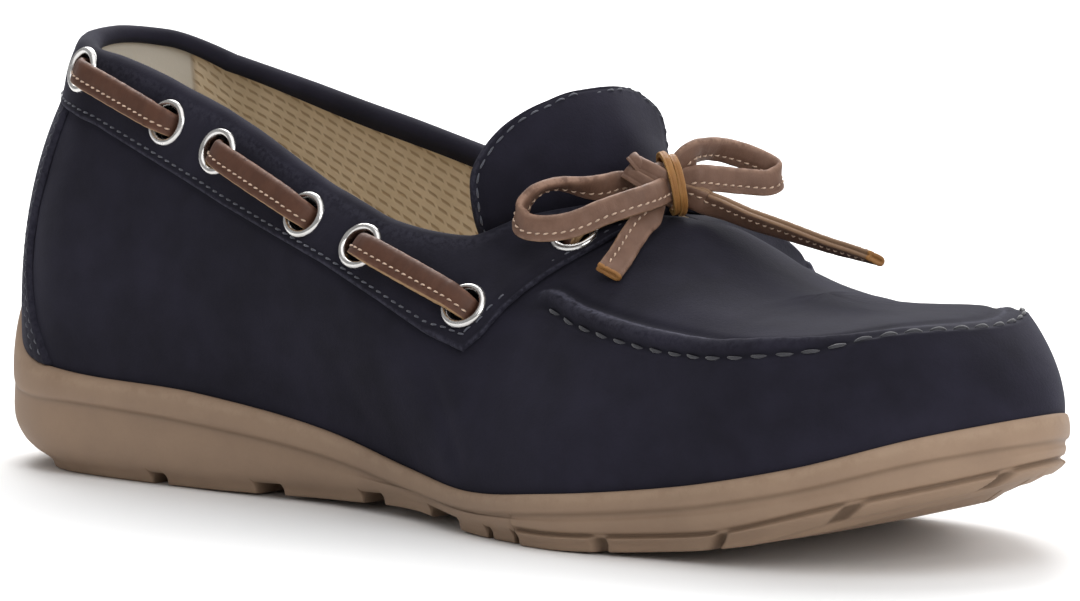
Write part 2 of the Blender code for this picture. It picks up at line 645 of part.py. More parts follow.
# Lower edge of the band along the outer side, heel to wing, then the wing's front edge up to the throat.
BandRow = namedtuple("BandRow", "place z")
BAND_EDGE = (
    BandRow(heel_turn(0), 77.4), BandRow(heel_turn(60), 76.6), BandRow(heel_turn(83), 75.2), BandRow(side(37), 73.2),
    BandRow(side(49), 69.2), BandRow(side(78), 59.4), BandRow(side(108), 50.2), BandRow(side(124), 44.4),
    BandRow(side(138), 38.8), BandRow(side(148), 35.8),
)
WING_EDGE = (
    BandRow(side(148), 35.8), BandRow(side(151), 38.8), BandRow(side(154), 43.8), BandRow(side(157), 47.6),
    BandRow(side(160), 50.6), BandRow(side(163), 53.4), BandRow(side(168), 58.6),
)


def band_edge_z(s):
    """Height of the band's lower or front edge; the inner side follows its own wall."""
    q = min(s, 2.0 * HALF - s)
    rows = BAND_EDGE if q <= side(148) else WING_EDGE
    raised = float(LAST["shoulder_z"](s) - LAST["shoulder_z"](q))
    z = np.interp(q, [r.place for r in rows], [r.z for r in rows])
    return z + raised * float(smooth((side(168) - q) / 14.0))


def make_band(finish):
    front = side(np.array((168, 166) + tuple(range(163, 148, -3)) + BODY_U[::-1], float))
    heel = np.linspace(HEEL_ARC, 0.0, HEEL_STEPS + 1)
    half = np.concatenate([front, heel])
    places = np.concatenate([half, (2.0 * HALF - half[:-1])[::-1]])
    loops = []
    for s in places:
        low = float(at_height(s, band_edge_z(s)))
        tuck = 2.0 - BAND_TUCK / reach(s, 1)
        t = low + (2.0 - low) * np.array(BAND_RISE)
        outer, under = skin(s, t, np.full(len(t), BAND_OUT)), skin(s, t, np.full(len(t), BAND_UNDER))
        _, up, out = frame(s, 2.0)
        middle = surface(s, 2.0) - out * (WALL / 2.0) * MM
        over, below = [], []
        for angle in (50.0, 130.0):
            turn = math.cos(math.radians(angle)) * out + math.sin(math.radians(angle)) * up
            over.append(middle + turn * (WALL / 2.0 + BAND_OUT) * MM)
            below.append(middle + turn * (WALL / 2.0 + BAND_OUT - BAND_THICK) * MM)
        ends = np.array([2.0, tuck])
        face = skin(s, ends, np.full(2, -WALL - BAND_OUT))
        back = skin(s, ends, np.full(2, -WALL - BAND_OUT + BAND_THICK))
        loops.append(np.concatenate([outer, over, face, back[::-1], below[::-1], under[::-1]]))
    return tube("collar_band", loops, finish)


# Half-width of the heel counter, as turns from straight back.
CounterRow = namedtuple("CounterRow", "z degrees")
COUNTER = (CounterRow(24, 82), CounterRow(32, 71), CounterRow(40, 65), CounterRow(50, 64), CounterRow(60, 70),
           CounterRow(74, 74))
COUNTER_THICK = 1.0
COUNTER_UNDER = 0.5          # its underside clears the chords of the wall round the heel


def make_counter(finish):
    across, up = np.linspace(-1.0, 1.0, 15), (0.0, 0.1, 0.25, 0.5, 0.75, 1.0)
    faces = []
    for depth in (COUNTER_UNDER + COUNTER_THICK, COUNTER_UNDER):
        sheet = []
        for v in across:
            column = []
            for f in up:
                turn = np.interp(24.0 + 50.0 * f, [r.z for r in COUNTER], [r.degrees for r in COUNTER])
                s = (v * heel_turn(turn)) % (2.0 * HALF)
                low, high = float(SOLE["rim"](s)) + 0.9, band_edge_z(s) - 0.7
                column.append(skin(s, at_height(s, low + f * (high - low)), depth))
            sheet.append(column)
        faces.append(np.array(sheet))
    loops = np.concatenate([faces[0], faces[1][:, ::-1]], axis=1)
    return tube("heel_counter", loops, finish)


# ---- eyelets

# From the heel forward along the outer side: the eyelet's track place and its height.
EyeletRow = namedtuple("EyeletRow", "place z")
EYELETS = (
    EyeletRow(heel_turn(85.6), 84.0), EyeletRow(side(58.1), 74.8), EyeletRow(side(73.8), 69.8),
    EyeletRow(side(100.8), 58.8), EyeletRow(side(117.0), 53.6), EyeletRow(side(145.5), 43.8),
    EyeletRow(side(159.2), 57.0),
)
INNER_DROP = 0.08            # the inner eyelets sit this much lower, in t
HOLE = 3.2
BARREL = 3.55
FLANGE = 5.0
FLANGE_TOP = 2.8             # above the upper's outside
BARREL_END = -1.2
PASSAGE = 3.8                # radius of the hole in the leather
PASSAGE_END = -1.5           # the lining behind it is whole
# Half the eyelet's section: (radius, distance out from the upper).
EYELET_PROFILE = ((HOLE, BARREL_END), (BARREL, BARREL_END), (BARREL, 1.8), (FLANGE, 1.8), (4.3, FLANGE_TOP),
                  (HOLE, FLANGE_TOP - 0.2))
EYELET_SIDES = 8


def eyelet_frames():
    """(side, number, track place, t, centre, along, up, out) of each eyelet."""
    found = []
    for inner in (False, True):
        for number, row in enumerate(EYELETS, 1):
            t = float(at_height(row.place, row.z))
            s = 2.0 * HALF - row.place if inner else row.place
            t = t - INNER_DROP if inner else t
            along, up, out = frame(s, t)
            found.append(("inner" if inner else "outer", number, s, t, skin(s, t, 0.0), along, up, out))
    return found


def ring_points(centre, along, up, out, radius, depth, sides):
    turn = np.arange(sides) * 2.0 * math.pi / sides
    return centre + MM * (radius * (np.cos(turn)[:, None] * along + np.sin(turn)[:, None] * up) + depth * out)


def make_eyelets(finish):
    for where, number, _, _, centre, along, up, out in eyelet_frames():
        rings = [ring_points(centre, along, up, out, r, d, EYELET_SIDES) for r, d in EYELET_PROFILE]
        points = np.swapaxes(np.array(rings), 0, 1)
        solid(f"eyelet_{where}_{number}", points.reshape(-1, 3),
              grid_faces(EYELET_SIDES, len(EYELET_PROFILE), True, True), finish)


def punch_eyelet_holes(*pieces):
    """Cut every eyelet's passage through the pieces."""
    points, faces = [], []
    for _, _, _, _, centre, along, up, out in eyelet_frames():
        start = len(points)
        for depth in (PASSAGE_END, 8.0):
            points += list(ring_points(centre, along, up, out, PASSAGE, depth, EYELET_SIDES))
        n = EYELET_SIDES
        faces += [(start + i, start + (i + 1) % n, start + n + (i + 1) % n, start + n + i) for i in range(n)]
        faces += [tuple(start + i for i in reversed(range(n))), tuple(start + n + i for i in range(n))]
    cutter = solid("eyelet_punch", points, faces, pieces[0].data.materials[0], weld=False)
    cutter.hide_render = True
    cutter.display_type = "WIRE"
    for piece in pieces:
        cut = piece.modifiers.new("eyelet holes", "BOOLEAN")
        cut.operation = "DIFFERENCE"
        cut.object = cutter
    return cutter


# ---- lace and bow

LACE_WIDTH, LACE_THICK = 5.2, 2.0
LACE_NARROW = 4.2            # its width squeezed through an eyelet
LACE_OUT = 4.2               # distance of a bar's middle from the upper's outside
LEG_END = -0.8               # a bar's leg ends here, in the eyelet
# A bar's turn into an eyelet: (distance back along the bar, distance from the upper, width).
BEND = ((0.0, LEG_END, LACE_NARROW), (0.0, 2.0, LACE_NARROW), (0.4, 3.2, LACE_NARROW), (1.6, 4.0, 4.6),
        (3.6, LACE_OUT, LACE_WIDTH))


def ribbon(name, route, finish):
    """A flat lace through (point in mm, widthways direction, width) stations."""
    path = np.array([r[0] for r in route])
    across = np.array([r[1] for r in route])
    width = np.array([r[2] for r in route])[:, None]
    ahead = unit(np.gradient(path, axis=0))
    across = unit(across - ahead * np.sum(across * ahead, axis=1, keepdims=True))
    normal = np.cross(ahead, across)
    corners = [path + sx * across * width / 2.0 + sz * normal * LACE_THICK / 2.0
               for sx, sz in ((-1, -1), (1, -1), (1, 1), (-1, 1))]
    return tube(name, np.stack(corners, axis=1) * MM, finish)


def bend(eyelet, ahead, across):
    """Stations from inside an eyelet up over its flange, going ahead along the wall."""
    centre, out = eyelet[4] / MM, eyelet[7]
    return [(centre + a * ahead + d * out, across, width) for a, d, width in BEND]


def make_bars(eyelets, finish):
    """The three lengths of lace that cross outside between pairs of eyelets on each side."""
    for where in ("outer", "inner"):
        ring = {e[1]: e for e in eyelets if e[0] == where}
        toe = 1.0 if where == "outer" else -1.0      # the track runs toward the toe outside, toward the heel inside
        for bar, (rear, front) in enumerate(((1, 2), (3, 4), (5, 6)), 1):
            a, b = ring[rear], ring[front]
            middle = []
            for f in (0.38, 0.62):
                s, t = a[2] + f * (b[2] - a[2]), a[3] + f * (b[3] - a[3])
                middle.append((skin(s, t, LACE_OUT) / MM, frame(s, t)[1], LACE_WIDTH))
            start, end = bend(a, toe * a[5], a[6]), bend(b, -toe * b[5], b[6])
            ribbon(f"lace_bar_{where}_{bar}", start + middle + end[::-1], finish)


def make_ties(eyelets, finish):
    """The lace from the foremost eyelet of each side up to the knot."""
    for where, port in (("outer", KNOT_PORT_OUTER), ("inner", KNOT_PORT_INNER)):
        seventh = next(e for e in eyelets if e[0] == where and e[1] == 7)
        centre, out = seventh[4] / MM, seventh[7]
        away = port - centre
        ahead = unit(away - out * np.dot(away, out))
        across = np.cross(out, ahead)
        stations = bend(seventh, ahead, across)
        stations.append((0.5 * (stations[-1][0] + port) + 0.6 * out, across, LACE_WIDTH))
        stations.append((port, across, LACE_WIDTH))
        ribbon(f"lace_tie_{where}", stations, finish)


def bow_point(u, y, z):
    return np.array([u - MIDDLE_U, y - MIDDLE_Y, z])


KNOT_CENTRE = bow_point(169.6, -3.0, 67.9)
KNOT_HALF = np.array([5.6, 6.4, 5.4])
KNOT_PORT_OUTER = bow_point(166.2, -8.2, 63.0)
KNOT_PORT_INNER = bow_point(166.6, 4.0, 65.4)

# Routes of the bow from the knot outward; tilt is the width's turn from upright, about the direction of travel.
LaceRow = namedtuple("LaceRow", "u y z tilt")
LOOP_OUTER = (
    LaceRow(163.2, -7.7, 67.8, 4), LaceRow(162.0, -11.8, 67.4, -14), LaceRow(160.0, -15.4, 67.8, -50),
    LaceRow(157.5, -19.0, 68.4, -70), LaceRow(155.4, -22.4, 67.6, -66), LaceRow(154.0, -25.0, 65.5, -45),
    LaceRow(153.9, -26.8, 62.6, -15), LaceRow(156.4, -27.6, 60.5, -5), LaceRow(161.3, -26.2, 60.3, -4),
    LaceRow(165.3, -23.2, 61.3, -6), LaceRow(168.7, -19.6, 63.3, -9), LaceRow(172.1, -15.8, 65.0, -10),
    LaceRow(173.6, -13.2, 65.8, -12),
)
LOOP_INNER = (
    LaceRow(173.0, 2.2, 72.8, -8), LaceRow(173.1, 5.2, 73.4, -4), LaceRow(173.6, 10.0, 73.6, 2),
    LaceRow(175.4, 15.7, 72.2, 6), LaceRow(178.0, 19.4, 70.6, 8), LaceRow(180.2, 20.4, 69.2, 8),
    LaceRow(181.2, 19.2, 68.0, 6), LaceRow(180.7, 16.6, 67.3, 4), LaceRow(178.6, 11.9, 67.8, 3),
    LaceRow(176.8, 6.1, 68.6, 2), LaceRow(175.6, 2.0, 69.1, 2),
)
END_OUTER = (
    LaceRow(173.0, -9.8, 62.4, -142), LaceRow(173.2, -12.9, 60.8, -138), LaceRow(173.4, -16.5, 58.0, -130),
    LaceRow(174.4, -20.9, 55.0, -124), LaceRow(175.2, -25.2, 52.5, -122),
)
END_INNER = (
    LaceRow(175.9, 1.6, 64.7, -160), LaceRow(177.3, 2.6, 63.9, -156), LaceRow(180.9, 3.4, 63.0, -150),
    LaceRow(186.7, 4.2, 61.3, -143), LaceRow(193.8, 4.8, 59.8, -136), LaceRow(199.9, 5.2, 58.5, -130),
    LaceRow(206.2, 5.2, 57.3, -124), LaceRow(212.6, 5.0, 56.4, -118), LaceRow(217.5, 4.6, 55.7, -113),
)
CORD_STEP = 5.0              # spacing of a bow curve's points


def smooth_route(rows):
    """Points and tilts about CORD_STEP apart on a smooth curve through the rows."""
    knots = np.array(rows, float)
    r = np.linspace(0.0, len(knots) - 1.0, 8 * len(knots))
    fine = np.stack([smooth_rows(knots[:, k], r) for k in range(4)], axis=1)
    run = np.concatenate([[0.0], np.cumsum(np.linalg.norm(np.diff(fine[:, :3], axis=0), axis=1))])
    stops = np.linspace(0.0, run[-1], int(round(run[-1] / CORD_STEP)) + 1)
    return np.stack([np.interp(stops, run, fine[:, k]) for k in range(4)], axis=1)


def make_cord(name, rows, finish):
    """A flat lace as a curve with rounded edges and closed ends."""
    route = smooth_route(rows)
    curve = bpy.data.curves.new(name, "CURVE")
    curve.dimensions = "3D"
    curve.twist_mode = "Z_UP"
    curve.extrude = (LACE_WIDTH - LACE_THICK) / 2.0 * MM
    curve.bevel_depth = LACE_THICK / 2.0 * MM
    curve.bevel_resolution = 2
    curve.use_fill_caps = True
    spline = curve.splines.new("POLY")
    spline.points.add(len(route) - 1)
    for point, (u, y, z, tilt) in zip(spline.points, route):
        point.co = (*(bow_point(u, y, z) * MM), 1.0)
        point.tilt = math.radians(tilt)
    curve.materials.append(finish)
    bpy.context.scene.collection.objects.link(bpy.data.objects.new(name, curve))


def make_bow(finish):
    bpy.ops.mesh.primitive_uv_sphere_add(segments=12, ring_count=8, radius=MM, location=(0.0, 0.0, 0.0))
    knot = bpy.context.object
    knot.name = knot.data.name = "lace_knot"
    knot.data.transform(Matrix.LocRotScale(Vector(KNOT_CENTRE * MM), None, Vector(KNOT_HALF)))
    knot.data.materials.append(finish)
    make_cord("lace_loop_outer", LOOP_OUTER, finish)
    make_cord("lace_loop_inner", LOOP_INNER, finish)
    make_cord("lace_end_outer", END_OUTER, finish)
    make_cord("lace_end_inner", END_INNER, finish)


def clear_scene():
    for thing in list(bpy.data.objects):
        bpy.data.objects.remove(thing, do_unlink=True)


def main():
    clear_scene()
    nubuck = material("navy_nubuck", (0.018, 0.019, 0.034), 0.9)
    rubber = material("tan_rubber", (0.27, 0.18, 0.12), 0.7)
    lining = material("beige_lining", (0.55, 0.43, 0.29), 0.85)
    lace = material("brown_leather_lace", (0.2, 0.09, 0.045), 0.65)
    steel = material("nickel_eyelet", (0.62, 0.6, 0.57), 0.25, 1.0)
    upper = make_upper(nubuck)
    make_sole(rubber)
    make_insole(lining)
    make_tongue(nubuck)
    band = make_band(nubuck)
    make_counter(nubuck)
    make_eyelets(steel)
    punch_eyelet_holes(upper, band)
    eyelets = eyelet_frames()
    make_bars(eyelets, lace)
    make_ties(eyelets, lace)
    make_bow(lace)


main()
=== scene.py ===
"""Looks of a slip-on moccasin shoe, right foot: nubuck upper, laced collar, bow and moulded sole.

Every size is in millimetres, counted as in the solids: u from the back of the heel toward the toe, y toward the
inner side of the foot, z up from the floor. Meshes are written in metres in the part's own frame.
"""
import math
from collections import namedtuple

import bmesh
import bpy
import numpy as np
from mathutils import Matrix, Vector


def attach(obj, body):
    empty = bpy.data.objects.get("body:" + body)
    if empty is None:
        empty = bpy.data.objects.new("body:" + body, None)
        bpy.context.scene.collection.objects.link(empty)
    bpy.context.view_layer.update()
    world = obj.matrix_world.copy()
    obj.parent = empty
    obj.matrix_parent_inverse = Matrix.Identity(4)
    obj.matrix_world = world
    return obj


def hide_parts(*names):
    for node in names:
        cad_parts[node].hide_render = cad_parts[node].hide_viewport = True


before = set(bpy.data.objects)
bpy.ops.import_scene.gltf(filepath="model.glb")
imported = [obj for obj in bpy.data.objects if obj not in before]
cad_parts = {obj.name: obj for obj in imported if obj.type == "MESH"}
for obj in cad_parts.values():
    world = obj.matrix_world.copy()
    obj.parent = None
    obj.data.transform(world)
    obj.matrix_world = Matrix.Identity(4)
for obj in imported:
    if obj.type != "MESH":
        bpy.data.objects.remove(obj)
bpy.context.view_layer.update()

MM = 0.001
MIDDLE_U, MIDDLE_Y = 130.3, -1.1
GAP = 0.3
WALL = 2.0
LUG_DEPTH = 2.4

# The sections fan round a centre at each end and stand square to the shoe between the two.
HEEL_CENTRE = 32.0
TOE_CENTRE = 206.0
HEEL_ARC = 50.0              # track length of each quarter turn
TOE_ARC = 72.0
HALF = HEEL_ARC + TOE_CENTRE - HEEL_CENTRE + TOE_ARC
TOE_DRIFT = 4.0              # the toe lies this far to the inner side
CREST_SLOPE = -0.2           # fall of the vamp's ridge at the toe centre
MOUTH_END = 174.0            # u where the throat's slit closes
LIFT_START, LIFT_END = 163.0, 176.5     # u along which the inner wing stands up
WING_LIFT = 4.8


def heel_turn(degrees):
    """Track place of a section turned this far from straight back."""
    return HEEL_ARC * degrees / 90.0


def side(u):
    return HEEL_ARC + u - HEEL_CENTRE


def toe_turn(degrees):
    """Track place of a section turned this far from square toward the toe."""
    return HALF - TOE_ARC + TOE_ARC * degrees / 90.0


# wall: width of the edge outside the tray; band: depth of the edge's upper band; step: how far the side below
# it stands back; corner: radius of the bottom edge; base: height of the bottom edge, lugs aside.
SoleRow = namedtuple("SoleRow", "place edge wall rim tray band step corner base")
SOLE_OUTER = (
    #        place          edge  wall rim   tray  band  step corner base
    SoleRow(heel_turn(0),   32.0, 2.8, 40.0, 19.0, 14.0, 0.1, 9.0, 2.6),
    SoleRow(heel_turn(28),  32.4, 3.0, 37.0, 19.0, 13.0, 0.1, 9.0, 2.6),
    SoleRow(heel_turn(48),  32.8, 3.2, 27.8, 18.8, 10.0, 0.2, 8.6, 2.4),
    SoleRow(heel_turn(68),  33.0, 2.8, 23.8, 18.5, 7.6, 0.5, 6.5, 2.4),
    SoleRow(side(32),       33.0, 2.4, 22.3, 18.2, 6.4, 0.9, 4.6, 2.4),
    SoleRow(side(70),       32.3, 2.0, 20.6, 17.0, 6.4, 1.2, 3.2, 2.6),
    SoleRow(side(106),      31.0, 2.0, 15.7, 12.4, 5.4, 1.2, 3.0, 3.6),
    SoleRow(side(130),      34.0, 2.0, 10.8, 8.0, 4.2, 0.6, 2.0, 4.4),
    SoleRow(side(150),      41.5, 2.0, 9.0, 6.4, 3.6, 0.6, 2.2, 2.6),
    SoleRow(side(174),      48.3, 2.0, 11.2, 8.4, 3.9, 0.9, 3.0, 2.4),
    SoleRow(side(206),      46.5, 2.0, 15.4, 12.2, 4.3, 1.2, 4.0, 4.8),
    SoleRow(toe_turn(30),   47.8, 2.0, 20.4, 17.0, 4.5, 1.2, 4.4, 8.6),
    SoleRow(toe_turn(60),   50.8, 1.5, 26.7, 23.1, 4.8, 1.0, 4.8, 13.4),
    SoleRow(toe_turn(90),   54.2, 1.5, 29.2, 25.4, 5.2, 0.8, 5.0, 16.8),
)
SOLE_INNER = (
    SoleRow(heel_turn(28),  32.3, 3.0, 37.0, 19.0, 13.0, 0.1, 9.0, 2.6),
    SoleRow(heel_turn(48),  32.5, 3.2, 27.8, 18.8, 10.0, 0.2, 8.6, 2.4),
    SoleRow(heel_turn(68),  32.6, 2.8, 23.8, 18.5, 7.6, 0.5, 6.5, 2.4),
    SoleRow(side(32),       32.5, 2.4, 22.3, 18.2, 6.4, 0.9, 4.6, 2.4),
    SoleRow(side(70),       31.0, 2.0, 21.6, 18.0, 6.6, 1.2, 3.2, 2.6),
    SoleRow(side(106),      28.5, 2.0, 20.4, 16.6, 6.4, 1.2, 3.0, 4.2),
    SoleRow(side(130),      30.5, 2.0, 18.2, 14.4, 5.8, 1.2, 3.0, 4.8),
    SoleRow(side(150),      35.5, 2.0, 15.4, 11.8, 5.0, 1.0, 3.0, 3.2),
    SoleRow(side(174),      39.8, 2.0, 14.2, 10.8, 4.4, 1.0, 3.0, 2.4),
    SoleRow(side(206),      39.2, 2.0, 16.2, 12.8, 4.3, 1.2, 4.0, 4.8),
    SoleRow(toe_turn(30),   41.6, 1.6, 19.6, 16.2, 4.5, 1.2, 4.4, 8.8),
    SoleRow(toe_turn(60),   46.2, 1.4, 25.0, 21.4, 4.8, 1.0, 4.8, 13.6),
)

# A lean is the wall's angle from level, going up and in: 90 is upright and more than 90 leans outward.
WallRow = namedtuple("WallRow",
                     "place foot_lean shoulder_w shoulder_z lean_below lean_above top_w top_z top_lean")
WALL_OUTER = (
    #        place          foot  shoulder    below above top         lean
    WallRow(heel_turn(0),   93,   20.6, 76.0, 66,   66,   15.6, 89.6, 72),
    WallRow(heel_turn(45),  94,   21.2, 75.6, 65,   66,   16.9, 88.8, 72),
    WallRow(side(32),       96,   25.4, 73.4, 68,   69,   21.2, 86.6, 73),
    WallRow(side(70),       97,   29.6, 60.9, 74,   74,   24.8, 77.0, 74),
    WallRow(side(106),      101,  34.2, 49.2, 80,   76,   28.0, 62.6, 62),
    WallRow(side(125),      103,  36.8, 41.6, 77,   73,   28.8, 56.8, 56),
    WallRow(side(139),      104,  37.6, 38.6, 72,   66,   25.4, 55.2, 46),
    WallRow(side(148),      104,  36.0, 40.4, 66,   58,   18.0, 59.4, 38),
    WallRow(side(160),      103,  30.3, 47.2, 54,   46,   9.5, 61.8, 28),
    WallRow(side(174),      103,  33.9, 45.1, 60,   42,   0.0, 60.6, 0),
    WallRow(side(206),      102,  40.3, 41.2, 72,   22,   0.0, 46.6, 0),
    WallRow(toe_turn(30),   100,  42.0, 43.0, 62,   12,   0.0, 46.6, 0),
    WallRow(toe_turn(60),   106,  43.4, 45.2, 52,   14,   0.0, 46.6, 0),
    WallRow(toe_turn(90),   108,  43.6, 45.2, 46,   16,   0.0, 46.6, 0),
)
WALL_INNER = (
    WallRow(heel_turn(45),  94,   21.2, 75.4, 65,   66,   16.9, 88.4, 72),
    WallRow(side(32),       96,   25.0, 71.6, 68,   69,   20.9, 83.2, 73),
    WallRow(side(70),       97,   28.8, 60.4, 74,   74,   24.4, 74.1, 74),
    WallRow(side(106),      98,   31.6, 51.2, 80,   76,   27.6, 64.8, 62),
    WallRow(side(125),      99,   33.6, 45.4, 77,   73,   28.0, 59.2, 56),
    WallRow(side(139),      99,   34.2, 43.8, 72,   66,   25.0, 58.2, 46),
    WallRow(side(148),      99,   33.4, 44.8, 68,   58,   18.0, 60.4, 40),
    WallRow(side(160),      99,   31.4, 47.0, 60,   46,   9.5, 61.8, 28),
    WallRow(side(174),      99,   32.0, 45.2, 66,   38,   0.0, 60.6, 0),
    WallRow(side(206),      99,   32.4, 40.4, 76,   14,   0.0, 46.6, 0),
    WallRow(toe_turn(30),   104,  34.2, 41.8, 62,   12,   0.0, 46.6, 0),
    WallRow(toe_turn(60),   109,  39.0, 45.4, 52,   14,   0.0, 46.6, 0),
)


def smooth(x):
    x = np.clip(x, 0.0, 1.0)
    return x * x * (3.0 - 2.0 * x)


def spine_y(u):
    return TOE_DRIFT * smooth((u - 120.0) / (TOE_CENTRE - 120.0))


class Round:
    """A closed curve of values round the shoe, through the rows of an outer and an inner table."""

    def __init__(self, outer, inner, column, monotone=False):
        places = [r.place for r in outer] + [2.0 * HALF - r.place for r in reversed(inner)]
        values = [getattr(r, column) for r in outer] + [getattr(r, column) for r in reversed(inner)]
        self.s = np.array(places)
        self.v = np.array(values, float)
        step = np.diff(np.append(self.s, self.s[0] + 2.0 * HALF))
        rise = (np.roll(self.v, -1) - self.v) / step
        before, back = np.roll(step, 1), np.roll(rise, 1)
        self.slope = (step * back + before * rise) / (step + before)
        if monotone:
            same = back * rise > 0.0
            safe = np.where(same, back * rise, 1.0)
            weights = (2.0 * step + before) * rise + (step + 2.0 * before) * back + 1e-12
            harmonic = 3.0 * (step + before) * safe / weights
            self.slope = np.where(same, harmonic, 0.0)
        self.step = step

    def __call__(self, s):
        s = np.asarray(s, float) % (2.0 * HALF)
        i = np.searchsorted(self.s, s, side="right") - 1
        j = (i + 1) % len(self.s)
        h = self.step[i]
        x = (s - self.s[i]) / h
        return (self.v[i] * (1.0 + 2.0 * x) * (1.0 - x) ** 2 + self.v[j] * x * x * (3.0 - 2.0 * x)
                + h * self.slope[i] * x * (1.0 - x) ** 2 - h * self.slope[j] * x * x * (1.0 - x))


SOLE = {c: Round(SOLE_OUTER, SOLE_INNER, c) for c in SoleRow._fields[1:]}
LAST = {c: Round(WALL_OUTER, WALL_INNER, c, c.startswith("top")) for c in WallRow._fields[1:]}


def section(s):
    """Where the section plane at a track place stands, and its outward direction (dx, dy)."""
    s = np.asarray(s, float) % (2.0 * HALF)
    inner = s > HALF
    q = np.where(inner, 2.0 * HALF - s, s)
    heel = np.clip(1.0 - q / HEEL_ARC, 0.0, 1.0) * math.pi / 2.0
    toe = np.clip((q - HALF + TOE_ARC) / TOE_ARC, 0.0, 1.0) * math.pi / 2.0
    u = np.clip(HEEL_CENTRE + q - HEEL_ARC, HEEL_CENTRE, TOE_CENTRE)
    return u, np.sin(toe - heel), np.where(inner, 1.0, -1.0) * np.cos(toe - heel)


def hermite(a, b, lean_a, lean_b, x):
    """Point on the curve from a to b, each a (w, z), that leaves and arrives at the given leans."""
    reach = np.hypot(b[0] - a[0], b[1] - a[1])
    la, lb = np.radians(lean_a), np.radians(lean_b)
    h0 = (1.0 + 2.0 * x) * (1.0 - x) ** 2
    h1 = x * x * (3.0 - 2.0 * x)
    g0 = x * (1.0 - x) ** 2 * reach
    g1 = -x * x * (1.0 - x) * reach
    w = a[0] * h0 + b[0] * h1 - np.cos(la) * g0 - np.cos(lb) * g1
    z = a[1] * h0 + b[1] * h1 + np.sin(la) * g0 + np.sin(lb) * g1
    return w, z


def place(s, w, z):
    """World point in metres, at half-width w and height z of the section at s."""
    u, dx, dy = section(s)
    return np.stack([u + dx * w - MIDDLE_U, spine_y(u) + dy * w - MIDDLE_Y, z + 0.0 * w], -1) * MM


def surface(s, t):
    """Outside of the upper: t runs 0 at the foot, 1 at the shoulder or seam, 2 at the top."""
    s, t = np.broadcast_arrays(np.asarray(s, float), np.asarray(t, float))
    u, dx, _ = section(s)
    foot = (SOLE["edge"](s) - SOLE["wall"](s) - GAP, SOLE["tray"](s) + GAP)
    shoulder = (LAST["shoulder_w"](s), LAST["shoulder_z"](s))
    top = (LAST["top_w"](s), LAST["top_z"](s))
    below = hermite(foot, shoulder, LAST["foot_lean"](s), LAST["lean_below"](s), np.clip(t, 0.0, 1.0))
    crest_lean = np.where(u >= MOUTH_END, np.degrees(np.arctan(-CREST_SLOPE * dx)), LAST["top_lean"](s))
    above = hermite(shoulder, top, LAST["lean_above"](s), crest_lean, np.clip(t - 1.0, 0.0, 1.0))
    w = np.where(t < 1.0, below[0], above[0])
    z = np.where(t < 1.0, below[1], above[1])
    return place(s, w, z)


def unit(v):
    return v / np.maximum(np.linalg.norm(v, axis=-1, keepdims=True), 1e-12)


def frame_at(s, t):
    """Unit vectors on the outside: along the track, up the wall, and outward."""
    s, t = np.broadcast_arrays(np.asarray(s, float), np.asarray(t, float))
    ds, dt = 0.05, 0.004
    tt = np.clip(t, 2.0 * dt, 2.0 - 2.0 * dt)
    along = unit(surface(s + ds, tt) - surface(s - ds, tt))
    up = unit(surface(s, tt + dt) - surface(s, tt - dt))
    out = unit(np.cross(along, up))
    return along, unit(np.cross(out, along)), out


def wing_lift(s, t):
    """How far the wing's front, on the inner side, stands off the last shape, in mm."""
    s = np.asarray(s, float) % (2.0 * HALF)
    q = 2.0 * HALF - s
    along = smooth((q - side(LIFT_START)) / 8.0) * smooth((side(LIFT_END) + 0.5 - q) / 1.0)
    return np.where(s > HALF, WING_LIFT * along * smooth((t - 0.9) / 0.16) * smooth((2.02 - t) / 0.9), 0.0)


def skin(s, t, depth):
    """Point of the wall moved outward by depth millimetres; the wing's lift moves the outside alone."""
    depth = np.asarray(depth, float)
    raised = depth + np.where(depth > -WALL / 2.0, wing_lift(s, t), 0.0)
    return surface(s, t) + frame_at(s, t)[2] * (raised[..., None] * MM)


def at_height(s, z):
    """Wall parameter t where the outside of the section at s reaches height z (mm)."""
    samples = np.linspace(0.0, 2.0, 161)
    s, z = np.broadcast_arrays(np.asarray(s, float), np.asarray(z, float))
    column = np.repeat(s.ravel()[:, None], 161, axis=1)
    grid = surface(column, np.repeat(samples[None, :], s.size, axis=0))[..., 2] / MM
    found = [np.interp(height, rise, samples) for rise, height in zip(grid, z.ravel())]
    return np.array(found).reshape(s.shape)


def reach(s, part):
    """Straight distance, in mm, across the skirt (0) or the part above the shoulder (1)."""
    return float(np.linalg.norm(surface(s, part + 1.0) - surface(s, float(part))) / MM)


SEAM_START = 159.0

# Lugs round the sole's edge, heel to toe; up to bar_end a bar joins the two sides.
LugRow = namedtuple("LugRow", "start end bar_end")
LUGS = (
    LugRow(heel_turn(64.5), side(54.5), 0),
    LugRow(side(59), side(83), side(83)),
    LugRow(side(90.5), side(113), 0),
    LugRow(side(120), side(136), 0),
    LugRow(side(147), side(156), 0),
    LugRow(side(158), side(164.5), 0),
    LugRow(side(166), HALF, side(184)),
)
# Raised pads along the side of the foremost lug, between slanting grooves.
PadRow = namedtuple("PadRow", "start end")
PADS = (
    PadRow(side(166), side(185.4)),
    PadRow(side(187.8), toe_turn(7)),
    PadRow(toe_turn(10), toe_turn(40)),
    PadRow(toe_turn(44.5), toe_turn(75)),
    PadRow(toe_turn(78.5), HALF),
)
PAD_OUT, GROOVE_IN = 1.0, 0.8
PAD_SLANT = 1.0              # the grooves lean this far toward the heel for each mm down
LUG_REACH, BAR_INSET = 17.0, 21.0
LIP_WIDTH = 1.6              # flat top of the edge beside the upper
SPRING_START, SPRING = 178.0, 11.1


